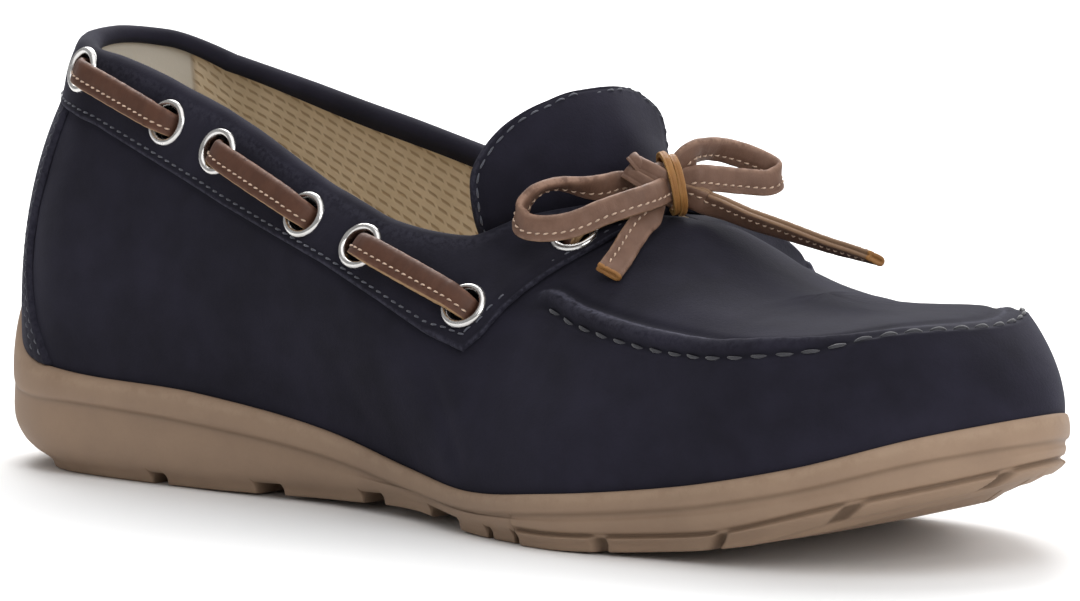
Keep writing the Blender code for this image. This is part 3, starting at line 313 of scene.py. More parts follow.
# Down the tongue: its middle (u, y, z), half width, and how far its edges lie back and below.
TongueRow = namedtuple("TongueRow", "u y z half back drop twist")
TONGUE = (
    TongueRow(182.0, 3.0, 53.4, 12.0, 0.0, 4.8, 0.0),
    TongueRow(174.0, 3.0, 54.4, 13.0, 5.0, 6.6, 0.0),
    TongueRow(167.4, 2.4, 55.4, 14.4, 13.0, 8.6, 0.0),
    TongueRow(163.0, 1.6, 59.2, 16.2, 21.0, 11.4, 0.0),
    TongueRow(160.2, 0.2, 65.6, 18.6, 24.0, 9.6, 0.0),
    TongueRow(159.0, 0.7, 71.8, 22.8, 16.8, 5.6, 5.6),
    TongueRow(156.2, 1.0, 77.0, 22.2, 12.8, 4.6, 5.6),
    TongueRow(152.8, 2.2, 81.4, 18.6, 7.6, 2.6, 4.4),
    TongueRow(150.4, 3.4, 84.2, 11.8, 3.6, 1.4, 2.4),
    TongueRow(149.4, 4.0, 85.2, 4.5, 1.0, 0.5, 0.6),
)
TONGUE_THICK = 1.8
ARCH_POWER, ARCH_SOFT = 0.66, 0.02


def arch(v):
    """0 on the tongue's middle line and 1 at its edges, with a round top."""
    return ((v * v + ARCH_SOFT) ** ARCH_POWER - ARCH_SOFT ** ARCH_POWER) / (
        (1.0 + ARCH_SOFT) ** ARCH_POWER - ARCH_SOFT ** ARCH_POWER)


BAND_OUT = 1.5               # outer face of the band from the upper
BAND_UNDER = 0.45            # its underside, clear of the upper where both bend
BAND_THICK = BAND_OUT - BAND_UNDER
BAND_TUCK = 2.0              # how far it turns down inside the collar

# Lower edge of the band along the outer side, heel to wing, then the wing's front edge up to the throat.
BandRow = namedtuple("BandRow", "place z")
BAND_EDGE = (
    BandRow(heel_turn(0), 77.4), BandRow(heel_turn(60), 76.6), BandRow(heel_turn(83), 75.2),
    BandRow(side(37), 73.2), BandRow(side(49), 69.2), BandRow(side(78), 59.4), BandRow(side(108), 50.2),
    BandRow(side(124), 44.4), BandRow(side(138), 38.8), BandRow(side(148), 35.8),
)
WING_EDGE = (
    BandRow(side(148), 35.8), BandRow(side(151), 38.8), BandRow(side(154), 43.8), BandRow(side(157), 47.6),
    BandRow(side(160), 50.6), BandRow(side(163), 53.4), BandRow(side(168), 58.6),
)




def band_edge_z(s):
    """Height of the band's lower or front edge; the inner side follows its own wall."""
    q = min(s, 2.0 * HALF - s)
    rows = BAND_EDGE if q <= side(148) else WING_EDGE
    raised = float(LAST["shoulder_z"](s) - LAST["shoulder_z"](q))
    z = np.interp(q, [r.place for r in rows], [r.z for r in rows])
    return z + raised * float(smooth((side(168) - q) / 14.0))


# Half-width of the heel counter, as turns from straight back.
CounterRow = namedtuple("CounterRow", "z degrees")
COUNTER = (CounterRow(24, 82), CounterRow(32, 71), CounterRow(40, 65), CounterRow(50, 64), CounterRow(60, 70),
           CounterRow(74, 74))

# From the heel forward along the outer side: the eyelet's track place and its height.
EyeletRow = namedtuple("EyeletRow", "place z")
EYELETS = (
    EyeletRow(heel_turn(85.6), 84.0), EyeletRow(side(58.1), 74.8), EyeletRow(side(73.8), 69.8),
    EyeletRow(side(100.8), 58.8), EyeletRow(side(117.0), 53.6), EyeletRow(side(145.5), 43.8),
    EyeletRow(side(159.2), 57.0),
)
INNER_DROP = 0.08            # the inner eyelets sit this much lower, in t

LACE_WIDTH, LACE_THICK = 5.2, 2.0


# ---- mesh tools

def quads(columns, rows, wrap):
    """Corner indices, two each way, of every quad of a grid listed column by column."""
    i = np.arange(columns if wrap else columns - 1)
    j = np.arange(rows - 1)
    ii, jj = np.meshgrid(i, j, indexing="ij")
    k = (ii + 1) % columns
    a, b, c, d = ii * rows + jj, k * rows + jj, k * rows + jj + 1, ii * rows + jj + 1
    return np.stack([a, b, c, d], -1).reshape(-1, 4), ii.ravel(), jj.ravel()


def piece(name, points, faces, finishes, slots=None, uv=None, fields=None, weld=0.0, flip=False):
    """A smooth mesh object from points in metres; fields holds one number a point under each name."""
    mesh = bpy.data.meshes.new(name)
    faces = np.asarray(faces)
    if flip:
        faces = faces[:, ::-1]
        uv = None if uv is None else uv[:, ::-1]
    mesh.vertices.add(len(points))
    mesh.vertices.foreach_set("co", np.asarray(points, np.float32).ravel())
    size = faces.shape[1]
    mesh.loops.add(faces.size)
    mesh.loops.foreach_set("vertex_index", faces.astype(np.int32).ravel())
    mesh.polygons.add(len(faces))
    mesh.polygons.foreach_set("loop_start", np.arange(0, faces.size, size, dtype=np.int32))
    mesh.polygons.foreach_set("use_smooth", np.ones(len(faces), bool))
    if slots is not None:
        mesh.polygons.foreach_set("material_index", np.asarray(slots, np.int32))
    if uv is not None:
        layer = mesh.uv_layers.new(name="UVMap")
        layer.data.foreach_set("uv", np.asarray(uv, np.float32).ravel())
    for key, values in (fields or {}).items():
        layer = mesh.attributes.new(key, "FLOAT", "POINT")
        layer.data.foreach_set("value", np.asarray(values, np.float32).ravel())
    mesh.update()
    mesh.validate()
    if weld:
        shell = bmesh.new()
        shell.from_mesh(mesh)
        bmesh.ops.remove_doubles(shell, verts=shell.verts, dist=weld * MM)
        shell.to_mesh(mesh)
        shell.free()
    for finish in finishes:
        mesh.materials.append(finish)
    made = bpy.data.objects.new(name, mesh)
    bpy.context.scene.collection.objects.link(made)
    return made


def dress(made, slot, *nodes):
    """Finish a piece: what it stands for and the body it rides on; the slot argument is not used."""
    if nodes:
        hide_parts(*nodes)
    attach(made, "root")
    return made


def run_length(points):
    """Distance along a line of points in metres, in mm."""
    return np.concatenate([[0.0], np.cumsum(np.linalg.norm(np.diff(points, axis=0), axis=1))]) / MM


def resample(points, step, *others):
    """Points about step mm apart along a line, with other values carried along."""
    run = run_length(points)
    stops = np.linspace(0.0, run[-1], max(2, int(round(run[-1] / step)) + 1))
    lines = [np.stack([np.interp(stops, run, a[:, k]) for k in range(a.shape[1])], 1)
             for a in (points, *others)]
    return lines[0] if not others else lines


def catmull(points, per_span=8):
    """A smooth line through the points."""
    points = np.asarray(points, float)
    r = np.linspace(0.0, len(points) - 1.0, per_span * (len(points) - 1) + 1)
    return np.stack([smooth_rows(points[:, k], r) for k in range(points.shape[1])], 1)


def smooth_rows(values, r):
    """Catmull-Rom curve through evenly spaced values."""
    last = len(values) - 1
    i = np.clip(np.floor(r).astype(int), 0, last - 1)
    x = r - i
    slope = np.gradient(values)
    return (values[i] * (1 + 2 * x) * (1 - x) ** 2 + values[i + 1] * x * x * (3 - 2 * x)
            + slope[i] * x * (1 - x) ** 2 - slope[i + 1] * x * x * (1 - x))


def bump(x, width):
    return np.exp(-(x / width) ** 2)


def ripple(s, t, seed, scale):
    """Smooth waves over the wall, between -1 and 1, from a few sines."""
    rng = np.random.default_rng(seed)
    total = 0.0
    for _ in range(7):
        a, b, c = rng.uniform(0.5, 1.6), rng.uniform(-1.6, 1.6), rng.uniform(0.0, 6.3)
        total = total + np.sin((a * s + b * t * 35.0) / scale * 2.0 * math.pi + c)
    return total / 7.0


# ---- node tools

class Nodes:
    """Adds and links shader or geometry nodes by name."""

    def __init__(self, tree):
        self.tree = tree

    def add(self, kind, values=None, **settings):
        node = self.tree.nodes.new(kind)
        for key, value in settings.items():
            setattr(node, key, value)
        for key, value in (values or {}).items():
            socket = node.inputs[key]
            if isinstance(value, bpy.types.NodeSocket):
                self.tree.links.new(value, socket)
            else:
                socket.default_value = value
        return node

    def math(self, operation, a, b=0.0, c=0.0, clamp=False):
        node = self.add("ShaderNodeMath", {0: a, 1: b, 2: c}, operation=operation, use_clamp=clamp)
        return node.outputs[0]

    def mix(self, factor, a, b, blend="MIX"):
        node = self.add("ShaderNodeMix", data_type="RGBA", blend_type=blend)
        for socket, value in ((node.inputs[0], factor), (node.inputs[6], a), (node.inputs[7], b)):
            if isinstance(value, bpy.types.NodeSocket):
                self.tree.links.new(value, socket)
            else:
                socket.default_value = value
        return node.outputs[2]

    def ramp(self, value, low, high, to_low=0.0, to_high=1.0):
        node = self.add("ShaderNodeMapRange", {0: value, 1: low, 2: high, 3: to_low, 4: to_high},
                        interpolation_type="SMOOTHSTEP")
        return node.outputs[0]

    def noise(self, vector, scale, detail=4.0, rough=0.55):
        return self.add("ShaderNodeTexNoise",
                        {"Vector": vector, "Scale": scale, "Detail": detail, "Roughness": rough})


def group(name, inputs, outputs, build):
    """A shader node group: build(nodes, inputs) returns one socket for each output."""
    tree = bpy.data.node_groups.new(name, "ShaderNodeTree")
    for label, kind, default in inputs:
        socket = tree.interface.new_socket(name=label, in_out="INPUT", socket_type=kind)
        if default is not None:
            socket.default_value = default
    for label, kind in outputs:
        tree.interface.new_socket(name=label, in_out="OUTPUT", socket_type=kind)
    nodes = Nodes(tree)
    start, end = nodes.add("NodeGroupInput"), nodes.add("NodeGroupOutput")
    for socket, made in zip(end.inputs, build(nodes, start.outputs)):
        tree.links.new(made, socket)
    return tree


def build_grain(n, given):
    """Fine height and soft mottling on Object coordinates, sized by Scale."""
    where = n.add("ShaderNodeTexCoord").outputs["Object"]
    coarse = n.noise(where, given["Scale"], 3.0, 0.5).outputs["Fac"]
    fine = n.noise(where, n.math("MULTIPLY", given["Scale"], 9.0), 5.0, 0.7).outputs["Fac"]
    mottle = n.ramp(n.math("ADD", n.math("MULTIPLY", coarse, 0.75), n.math("MULTIPLY", fine, 0.25)), 0.3, 0.7)
    return mottle, n.math("MULTIPLY", fine, given["Depth"])


def build_rub_and_highlight(n, given):
    """Colour lightened where a mask marks rubbing and painted highlights, broken up by noise."""
    where = n.add("ShaderNodeTexCoord").outputs["Object"]
    broken = n.ramp(n.noise(where, given["Scale"], 4.0, 0.65).outputs["Fac"], 0.35, 0.62)
    mask = n.math("MULTIPLY", given["Mask"], broken, clamp=True)
    return [n.mix(mask, given["Colour"], given["Rubbed and lit"])]


GRAIN = group("grain", (("Scale", "NodeSocketFloat", 200.0), ("Depth", "NodeSocketFloat", 1.0)),
              (("Mottle", "NodeSocketFloat"), ("Height", "NodeSocketFloat")), build_grain)
RUB_AND_HIGHLIGHT_GROUP = group("rubbing and painted highlight", (("Colour", "NodeSocketColor", None), ("Rubbed and lit", "NodeSocketColor", None),
                           ("Mask", "NodeSocketFloat", 0.0), ("Scale", "NodeSocketFloat", 900.0)),
             (("Colour", "NodeSocketColor"),), build_rub_and_highlight)


def start_material(name, **constants):
    """A new material, its nodes and its Principled shader with constants set on the shader's own sockets."""
    made = bpy.data.materials.new(name)
    made.use_nodes = True
    n = Nodes(made.node_tree)
    shader = made.node_tree.nodes["Principled BSDF"]
    for key, value in constants.items():
        shader.inputs[key.replace("_", " ")].default_value = value
    return made, n, shader


def finish_material(n, shader, colour=None, roughness=None, height=None, strength=0.3, distance=0.0002):
    for value, key in ((colour, "Base Color"), (roughness, "Roughness")):
        if value is not None:
            n.tree.links.new(value, shader.inputs[key])
    if height is not None:
        relief = n.add("ShaderNodeBump", {"Height": height, "Strength": strength, "Distance": distance})
        n.tree.links.new(relief.outputs["Normal"], shader.inputs["Normal"])


def nubuck(name, deep, high, rubbed_and_lit):
    """Brushed nubuck: short nap in soft patches, paler where an edge shows rubbing and along painted
    highlights.
    """
    made, n, shader = start_material(name, Roughness=0.9, Sheen_Weight=0.06, Sheen_Roughness=0.45,
                                     Specular_IOR_Level=0.16)
    shader.inputs["Sheen Tint"].default_value = (0.6, 0.6, 0.8, 1.0)
    patch = n.add("ShaderNodeGroup", {}, node_tree=GRAIN)
    patch.inputs["Scale"].default_value = 150.0
    patch.inputs["Depth"].default_value = 1.0
    where = n.add("ShaderNodeTexCoord").outputs["Object"]
    brushed = n.ramp(n.noise(where, 26.0, 2.0, 0.5).outputs["Fac"], 0.42, 0.66)
    shade = n.math("ADD", n.math("MULTIPLY", patch.outputs["Mottle"], 0.45), n.math("MULTIPLY", brushed, 0.55))
    colour = n.mix(shade, deep, high)
    # Mask of rubbing on edges and of the painted highlight along the moccasin seam.
    edge = n.add("ShaderNodeAttribute", attribute_name="rub_and_highlight").outputs["Fac"]
    paled = n.add("ShaderNodeGroup", {}, node_tree=RUB_AND_HIGHLIGHT_GROUP)
    n.tree.links.new(colour, paled.inputs["Colour"])
    n.tree.links.new(edge, paled.inputs["Mask"])
    paled.inputs["Rubbed and lit"].default_value = rubbed_and_lit
    paled.inputs["Scale"].default_value = 950.0
    # Painted shade: grooves of the seams and stitch lines darkened toward near black.
    dark = n.add("ShaderNodeAttribute", attribute_name="painted_shade").outputs["Fac"]
    colour = n.mix(dark, paled.outputs["Colour"], (0.003, 0.003, 0.005, 1.0))
    finish_material(n, shader, colour, height=patch.outputs["Height"], strength=0.35, distance=0.00025)
    return made


def moulded_rubber():
    made, n, shader = start_material("tan moulded rubber", Roughness=0.62, Specular_IOR_Level=0.35)
    grain = n.add("ShaderNodeGroup", {}, node_tree=GRAIN)
    grain.inputs["Scale"].default_value = 110.0
    grain.inputs["Depth"].default_value = 1.0
    colour = n.mix(grain.outputs["Mottle"], (0.248, 0.165, 0.11, 1.0), (0.282, 0.192, 0.13, 1.0))
    edge = n.add("ShaderNodeAttribute", attribute_name="rub_and_highlight").outputs["Fac"]
    paled = n.add("ShaderNodeGroup", {}, node_tree=RUB_AND_HIGHLIGHT_GROUP)
    n.tree.links.new(colour, paled.inputs["Colour"])
    n.tree.links.new(edge, paled.inputs["Mask"])
    # The paler colour is a painted highlight along the upper part of the sole's edge band.
    paled.inputs["Rubbed and lit"].default_value = (0.36, 0.26, 0.18, 1.0)
    paled.inputs["Scale"].default_value = 260.0
    # Painted shade: darkened under the edge band's ledge and in the grooves between the pads.
    dark = n.add("ShaderNodeAttribute", attribute_name="painted_shade").outputs["Fac"]
    colour = n.mix(dark, paled.outputs["Colour"], (0.1, 0.062, 0.038, 1.0))
    rough = n.ramp(grain.outputs["Mottle"], 0.0, 1.0, 0.56, 0.7)
    finish_material(n, shader, colour, rough, grain.outputs["Height"], 0.2, 0.0002)
    return made


def dashed_lining():
    """Textile in rows of small slanted dashes; the heel's part, marked by its attribute, is plain."""
    made, n, shader = start_material("beige dashed lining", Roughness=0.85, Sheen_Weight=0.1,
                                     Specular_IOR_Level=0.3)
    uv = n.add("ShaderNodeSeparateXYZ", {0: n.add("ShaderNodeUVMap", uv_map="UVMap").outputs[0]}).outputs
    row = n.math("MULTIPLY", uv[1], 1.0 / 2.5)
    which = n.math("FLOOR", row)
    slanted = n.math("ADD", n.math("MULTIPLY", uv[0], 1.0 / 3.3), n.math("MULTIPLY", row, 0.25))
    along = n.math("FRACT", n.math("ADD", slanted, n.math("MULTIPLY", which, 0.37)))
    inside = n.math("ABSOLUTE", n.math("SUBTRACT", along, 0.5))
    across = n.math("ABSOLUTE", n.math("SUBTRACT", n.math("FRACT", row), 0.5))
    dash = n.math("MULTIPLY", n.ramp(inside, 0.42, 0.3), n.ramp(across, 0.24, 0.06))
    plain = n.add("ShaderNodeAttribute", attribute_name="plain").outputs["Fac"]
    dash = n.math("MULTIPLY", dash, n.math("SUBTRACT", 1.0, plain))
    grain = n.add("ShaderNodeGroup", {}, node_tree=GRAIN)
    grain.inputs["Scale"].default_value = 160.0
    grain.inputs["Depth"].default_value = 0.35
    ground = n.mix(grain.outputs["Mottle"], (0.62, 0.51, 0.36, 1.0), (0.7, 0.585, 0.43, 1.0))
    ground = n.mix(plain, ground, (0.58, 0.545, 0.48, 1.0))
    colour = n.mix(n.math("MULTIPLY", dash, 0.65), ground, (0.3, 0.2, 0.11, 1.0))
    # Painted shade along the lining's seam line.
    dark = n.add("ShaderNodeAttribute", attribute_name="painted_shade").outputs["Fac"]
    colour = n.mix(dark, colour, (0.16, 0.1, 0.06, 1.0))
    height = n.math("SUBTRACT", grain.outputs["Height"], dash)
    finish_material(n, shader, colour, height=height, strength=0.5, distance=0.0003)
    return made


def lace_leather(name, colour_a, colour_b, rubbed_and_lit, raw):
    """Waxed leather of a folded lace: creases across it, a paler fold and raw edges."""
    made, n, shader = start_material(name, Roughness=0.6, Specular_IOR_Level=0.25)
    grain = n.add("ShaderNodeGroup", {}, node_tree=GRAIN)
    grain.inputs["Scale"].default_value = 240.0
    grain.inputs["Depth"].default_value = 0.6
    uv = n.add("ShaderNodeUVMap", uv_map="UVMap").outputs[0]
    stretched = n.add("ShaderNodeVectorMath", {0: uv, 1: (1.3, 0.22, 1.0)}, operation="MULTIPLY").outputs[0]
    crease = n.noise(stretched, 1.0, 5.0, 0.7).outputs["Fac"]
    shade = n.math("ADD", n.math("MULTIPLY", grain.outputs["Mottle"], 0.5), n.math("MULTIPLY", crease, 0.5))
    colour = n.mix(shade, colour_a, colour_b)
    edge = n.add("ShaderNodeAttribute", attribute_name="rub_and_highlight").outputs["Fac"]
    paled = n.add("ShaderNodeGroup", {}, node_tree=RUB_AND_HIGHLIGHT_GROUP)
    n.tree.links.new(colour, paled.inputs["Colour"])
    n.tree.links.new(edge, paled.inputs["Mask"])
    paled.inputs["Rubbed and lit"].default_value = rubbed_and_lit
    paled.inputs["Scale"].default_value = 500.0
    cut = n.add("ShaderNodeAttribute", attribute_name="raw").outputs["Fac"]
    colour = n.mix(cut, paled.outputs["Colour"], raw)
    dark = n.add("ShaderNodeAttribute", attribute_name="painted_shade").outputs["Fac"]
    colour = n.mix(dark, colour, (0.05, 0.02, 0.01, 1.0))
    rough = n.ramp(crease, 0.3, 0.7, 0.42, 0.62)
    height = n.math("ADD", grain.outputs["Height"], n.math("MULTIPLY", crease, 1.2))
    finish_material(n, shader, colour, rough, height, 0.3, 0.0002)
    return made


def polished_nickel():
    made, n, shader = start_material("polished nickel", Metallic=1.0, Roughness=0.2)
    grain = n.add("ShaderNodeGroup", {}, node_tree=GRAIN)
    grain.inputs["Scale"].default_value = 300.0
    grain.inputs["Depth"].default_value = 0.3
    colour = n.mix(grain.outputs["Mottle"], (0.6, 0.58, 0.56, 1.0), (0.72, 0.71, 0.7, 1.0))
    rough = n.ramp(grain.outputs["Mottle"], 0.0, 1.0, 0.15, 0.3)
    finish_material(n, shader, colour, rough, grain.outputs["Height"], 0.05, 0.0001)
    return made


def thread(name, colour):
    made, n, shader = start_material(name, Roughness=0.6, Sheen_Weight=0.3)
    grain = n.add("ShaderNodeGroup", {}, node_tree=GRAIN)
    grain.inputs["Scale"].default_value = 700.0
    grain.inputs["Depth"].default_value = 1.0
    dim = tuple(0.7 * c for c in colour) + (1.0,)
    finish_material(n, shader, n.mix(grain.outputs["Mottle"], dim, (*colour, 1.0)),
                    height=grain.outputs["Height"], strength=0.4, distance=0.0001)
    return made


# Navy nubuck: the last colour is the paler tone of rubbing on edges and the painted highlight along the
# moccasin seam's crest.
NUBUCK = nubuck("navy nubuck", (0.0085, 0.0078, 0.0132, 1.0), (0.0165, 0.0152, 0.0262, 1.0),
                (0.055, 0.054, 0.075, 1.0))
BINDING = nubuck("navy binding", (0.009, 0.0085, 0.013, 1.0), (0.014, 0.0135, 0.02, 1.0),
                 (0.035, 0.034, 0.045, 1.0))
RUBBER = moulded_rubber()
LINING = dashed_lining()
# One lace in two copies: darker on the bars and ties as painted shade, lighter on the bow and knot as painted
# light.
SHADED_LACE = lace_leather("brown lace leather in painted shade", (0.055, 0.022, 0.013, 1.0), (0.105, 0.046, 0.028, 1.0),
                    (0.22, 0.12, 0.085, 1.0), (0.36, 0.22, 0.11, 1.0))
LIT_BOW_LACE = lace_leather("brown bow leather in painted light", (0.115, 0.061, 0.041, 1.0), (0.19, 0.108, 0.075, 1.0),
                        (0.34, 0.21, 0.15, 1.0), (0.22, 0.13, 0.075, 1.0))
CUT_LEATHER = lace_leather("raw lace edge", (0.21, 0.09, 0.026, 1.0), (0.36, 0.175, 0.052, 1.0),
                           (0.5, 0.3, 0.12, 1.0), (0.42, 0.24, 0.08, 1.0))
NICKEL = polished_nickel()
GREY_THREAD = thread("grey blue thread", (0.062, 0.066, 0.09))
SEAM_THREAD = thread("dark grey thread", (0.024, 0.024, 0.032))
CREAM_THREAD = thread("cream thread", (0.6, 0.42, 0.3))


# ---- stitches

def stitch_mesh(length, width, height, finish):
    """One stitch: a small rounded bar that dips at both ends, lying along X with Z outward."""
    rings, sides = 7, 6
    points = []
    for x in np.linspace(-1.0, 1.0, rings):
        swell = math.sqrt(max(1.0 - x * x * 0.86, 0.02))
        lift = height * (0.72 - 1.1 * x * x)
        for k in range(sides):
            turn = 2.0 * math.pi * k / sides
            points.append((0.5 * length * x * MM, 0.5 * width * swell * math.cos(turn) * MM,
                           (lift + 0.5 * height * swell * math.sin(turn)) * MM))
    mesh = bpy.data.meshes.new("one stitch")
    faces = [(r * sides + k, (r + 1) * sides + k,
              (r + 1) * sides + (k + 1) % sides, r * sides + (k + 1) % sides)
             for r in range(rings - 1) for k in range(sides)]
    faces += [tuple(range(sides)), tuple((rings - 1) * sides + k for k in reversed(range(sides)))]
    mesh.from_pydata(points, [], faces)
    shell = bmesh.new()
    shell.from_mesh(mesh)
    bmesh.ops.recalc_face_normals(shell, faces=shell.faces)
    for face in shell.faces:
        face.smooth = True
    shell.to_mesh(mesh)
    shell.free()
    mesh.materials.append(finish)
    made = bpy.data.objects.new("one stitch", mesh)
    return made


def sewing_tree():
    """Geometry nodes: the stitch object on every point, turned by its ahead and outward directions."""
    tree = bpy.data.node_groups.new("sewing", "GeometryNodeTree")
    face = tree.interface
    face.new_socket(name="Geometry", in_out="INPUT", socket_type="NodeSocketGeometry")
    face.new_socket(name="Stitch", in_out="INPUT", socket_type="NodeSocketObject")
    face.new_socket(name="Slant", in_out="INPUT", socket_type="NodeSocketFloat")
    face.new_socket(name="Unevenness", in_out="INPUT", socket_type="NodeSocketFloat")
    face.new_socket(name="Thread", in_out="INPUT", socket_type="NodeSocketMaterial")
    face.new_socket(name="Geometry", in_out="OUTPUT", socket_type="NodeSocketGeometry")
    n = Nodes(tree)
    start, end = n.add("NodeGroupInput"), n.add("NodeGroupOutput")
    points = n.add("GeometryNodeMeshToPoints", {"Mesh": start.outputs["Geometry"]})
    ahead = n.add("GeometryNodeInputNamedAttribute", {"Name": "ahead"}, data_type="FLOAT_VECTOR")
    outward = n.add("GeometryNodeInputNamedAttribute", {"Name": "outward"}, data_type="FLOAT_VECTOR")
    turn = n.add("FunctionNodeAxesToRotation", {0: outward.outputs[0], 1: ahead.outputs[0]},
                 primary_axis="Z", secondary_axis="X")
    jitter = n.add("FunctionNodeRandomValue", {"Seed": 7}, data_type="FLOAT")
    tree.links.new(start.outputs["Unevenness"], jitter.inputs[3])
    tree.links.new(n.math("MULTIPLY", start.outputs["Unevenness"], -1.0), jitter.inputs[2])
    angle = n.math("ADD", start.outputs["Slant"], jitter.outputs[1])
    spin = n.add("ShaderNodeCombineXYZ", {2: angle})
    slant = n.add("FunctionNodeEulerToRotation", {0: spin.outputs[0]})
    rotation = n.add("FunctionNodeRotateRotation", {0: turn.outputs[0], 1: slant.outputs[0]},
                     rotation_space="LOCAL")
    source = n.add("GeometryNodeObjectInfo", {"Object": start.outputs["Stitch"]}, transform_space="ORIGINAL")
    on = n.add("GeometryNodeInstanceOnPoints",
               {"Points": points.outputs[0], "Instance": source.outputs["Geometry"],
                "Rotation": rotation.outputs[0]})
    real = n.add("GeometryNodeRealizeInstances", {0: on.outputs[0]})
    painted = n.add("GeometryNodeSetMaterial",
                    {"Geometry": real.outputs[0], "Material": start.outputs["Thread"]})
    tree.links.new(painted.outputs[0], end.inputs[0])
    return tree


SEWING = sewing_tree()


def spaced(points, normals, pitch, first=0.5):
    """Stitch middles, directions and normals, one each pitch mm along a line."""
    run = run_length(points)
    count = max(1, int(run[-1] / pitch))
    stops = (np.arange(count) + first) * (run[-1] / count)
    at = np.stack([np.interp(stops, run, points[:, k]) for k in range(3)], 1)
    out = unit(np.stack([np.interp(stops, run, normals[:, k]) for k in range(3)], 1))
    step = 0.4
    before = np.stack([np.interp(stops - step, run, points[:, k]) for k in range(3)], 1)
    after = np.stack([np.interp(stops + step, run, points[:, k]) for k in range(3)], 1)
    return at, unit(after - before), out


def sew(name, lines, pitch, length, width, height, finish, slot, slant=0.0, uneven=0.05):
    """One piece of stitches along (points, normals) lines in metres."""
    found = [spaced(p, q, pitch) for p, q in lines]
    at, ahead, out = (np.concatenate([f[k] for f in found]) for k in range(3))
    mesh = bpy.data.meshes.new(name)
    mesh.from_pydata(at.tolist(), [], [])
    for key, way in (("ahead", ahead), ("outward", out)):
        layer = mesh.attributes.new(key, "FLOAT_VECTOR", "POINT")
        layer.data.foreach_set("vector", way.astype(np.float32).ravel())
    row = bpy.data.objects.new(name, mesh)
    bpy.context.scene.collection.objects.link(row)
    stitch = stitch_mesh(length, width, height, finish)
    bpy.context.scene.collection.objects.link(stitch)
    modifier = row.modifiers.new("sewing", "NODES")
    modifier.node_group = SEWING
    given = {item.name: item.identifier for item in SEWING.interface.items_tree if item.in_out == "INPUT"}
    modifier[given["Stitch"]] = stitch
    modifier[given["Slant"]] = slant
    modifier[given["Unevenness"]] = uneven
    modifier[given["Thread"]] = finish
    bpy.context.view_layer.update()
    made = bpy.data.meshes.new_from_object(row.evaluated_get(bpy.context.evaluated_depsgraph_get()))
    row.modifiers.clear()
    row.data = made
    made.name = name
    made.polygons.foreach_set("use_smooth", np.ones(len(made.polygons), bool))
    bpy.data.objects.remove(stitch, do_unlink=True)
    return dress(row, slot)


# ---- upper

COLUMNS = 640
SEAM_ZONE = 5.0              # half-width of the strip that carries the raised seam
PUCKER = 5.0                 # spacing of the seam's stitches
STITCH_BELOW = 3.1           # how far under the seam's crest its stitches run


def seam_amount(s):
    q = np.minimum(s, 2.0 * HALF - s)
    return smooth((q - side(SEAM_START)) / 6.0) * (1.0 - 0.7 * smooth((q - toe_turn(20)) / 45.0))


def seam_shape(d, wave):
    """Height of the moccasin seam above (+) or below (-) its crest; wave runs -1..1 with the stitches."""
    lip = 1.75 * bump(d + 0.7, 1.45) + 0.3 * bump(d - 0.75, 0.4)
    shelf = 0.35 * bump(d + 3.9, 1.2)
    ditch = -0.4 * bump(d - 2.5, 1.0)
    pinch = -0.35 * bump(d + 2.9, 0.7) * (0.8 - 0.2 * wave)
    return lip * (1.0 - 0.06 * (0.5 - 0.5 * wave)) + shelf + ditch + pinch


# Soft creases of the upper, as lines of (track place, t) with depth and width in mm.
CreaseRow = namedtuple("CreaseRow", "s0 t0 s1 t1 depth width")
CREASES = (
    CreaseRow(side(138), 0.86, side(150), 0.1, -0.5, 5.0),
    CreaseRow(side(143), 0.88, side(158), 0.15, 0.35, 6.0),
    CreaseRow(side(168), 1.30, side(196), 1.62, -0.18, 6.0),
    CreaseRow(side(176), 1.75, side(200), 1.30, -0.16, 7.0),
    CreaseRow(side(192), 0.72, side(205), 0.25, -0.25, 6.0),
    CreaseRow(side(110), 0.6, side(122), 0.12, -0.2, 7.0),
    CreaseRow(side(66), 0.62, side(78), 0.2, -0.2, 8.0),
    CreaseRow(2 * HALF - side(140), 0.82, 2 * HALF - side(152), 0.15, -0.5, 5.0),
    CreaseRow(2 * HALF - side(172), 1.32, 2 * HALF - side(198), 1.6, -0.25, 5.0),
    CreaseRow(2 * HALF - side(112), 0.6, 2 * HALF - side(120), 0.15, -0.25, 7.0),
)
HEIGHT = 46.0                # about the wall's height for one unit of t


def creases(s, t):
    total = 0.0 * s
    for c in CREASES:
        ax, ay = c.s0, c.t0 * HEIGHT
        bx, by = c.s1, c.t1 * HEIGHT
        px, py = s - ax, t * HEIGHT - ay
        length = math.hypot(bx - ax, by - ay)
        dx, dy = (bx - ax) / length, (by - ay) / length
        along = px * dx + py * dy
        off = px * dy - py * dx
        fade = smooth(along / (0.3 * length) + 0.15) * smooth((length - along) / (0.3 * length) + 0.15)
        total = total + c.depth * fade * bump(off, c.width * 0.5)
    return total


SIDE_CLIMB, TOE_CLIMB = 1.5, 2.7     # the seam's rise above the shoulder's edge, along the side and the toe
CLIMB_REACH = 30.0
VAMP_LIFT = 1.8                      # soft swell of the vamp where it meets the toe
VAMP_LIFT_AT, VAMP_LIFT_REACH = 204.0, 14.0


def seam_climb(q):
    """How far above the shoulder's edge the seam runs, in mm: nothing at the wing, most round the toe."""
    along_side = smooth((q - side(178)) / CLIMB_REACH)
    round_toe = smooth((q - toe_turn(28)) / (toe_turn(62) - toe_turn(28)))
    return SIDE_CLIMB * along_side + TOE_CLIMB * round_toe


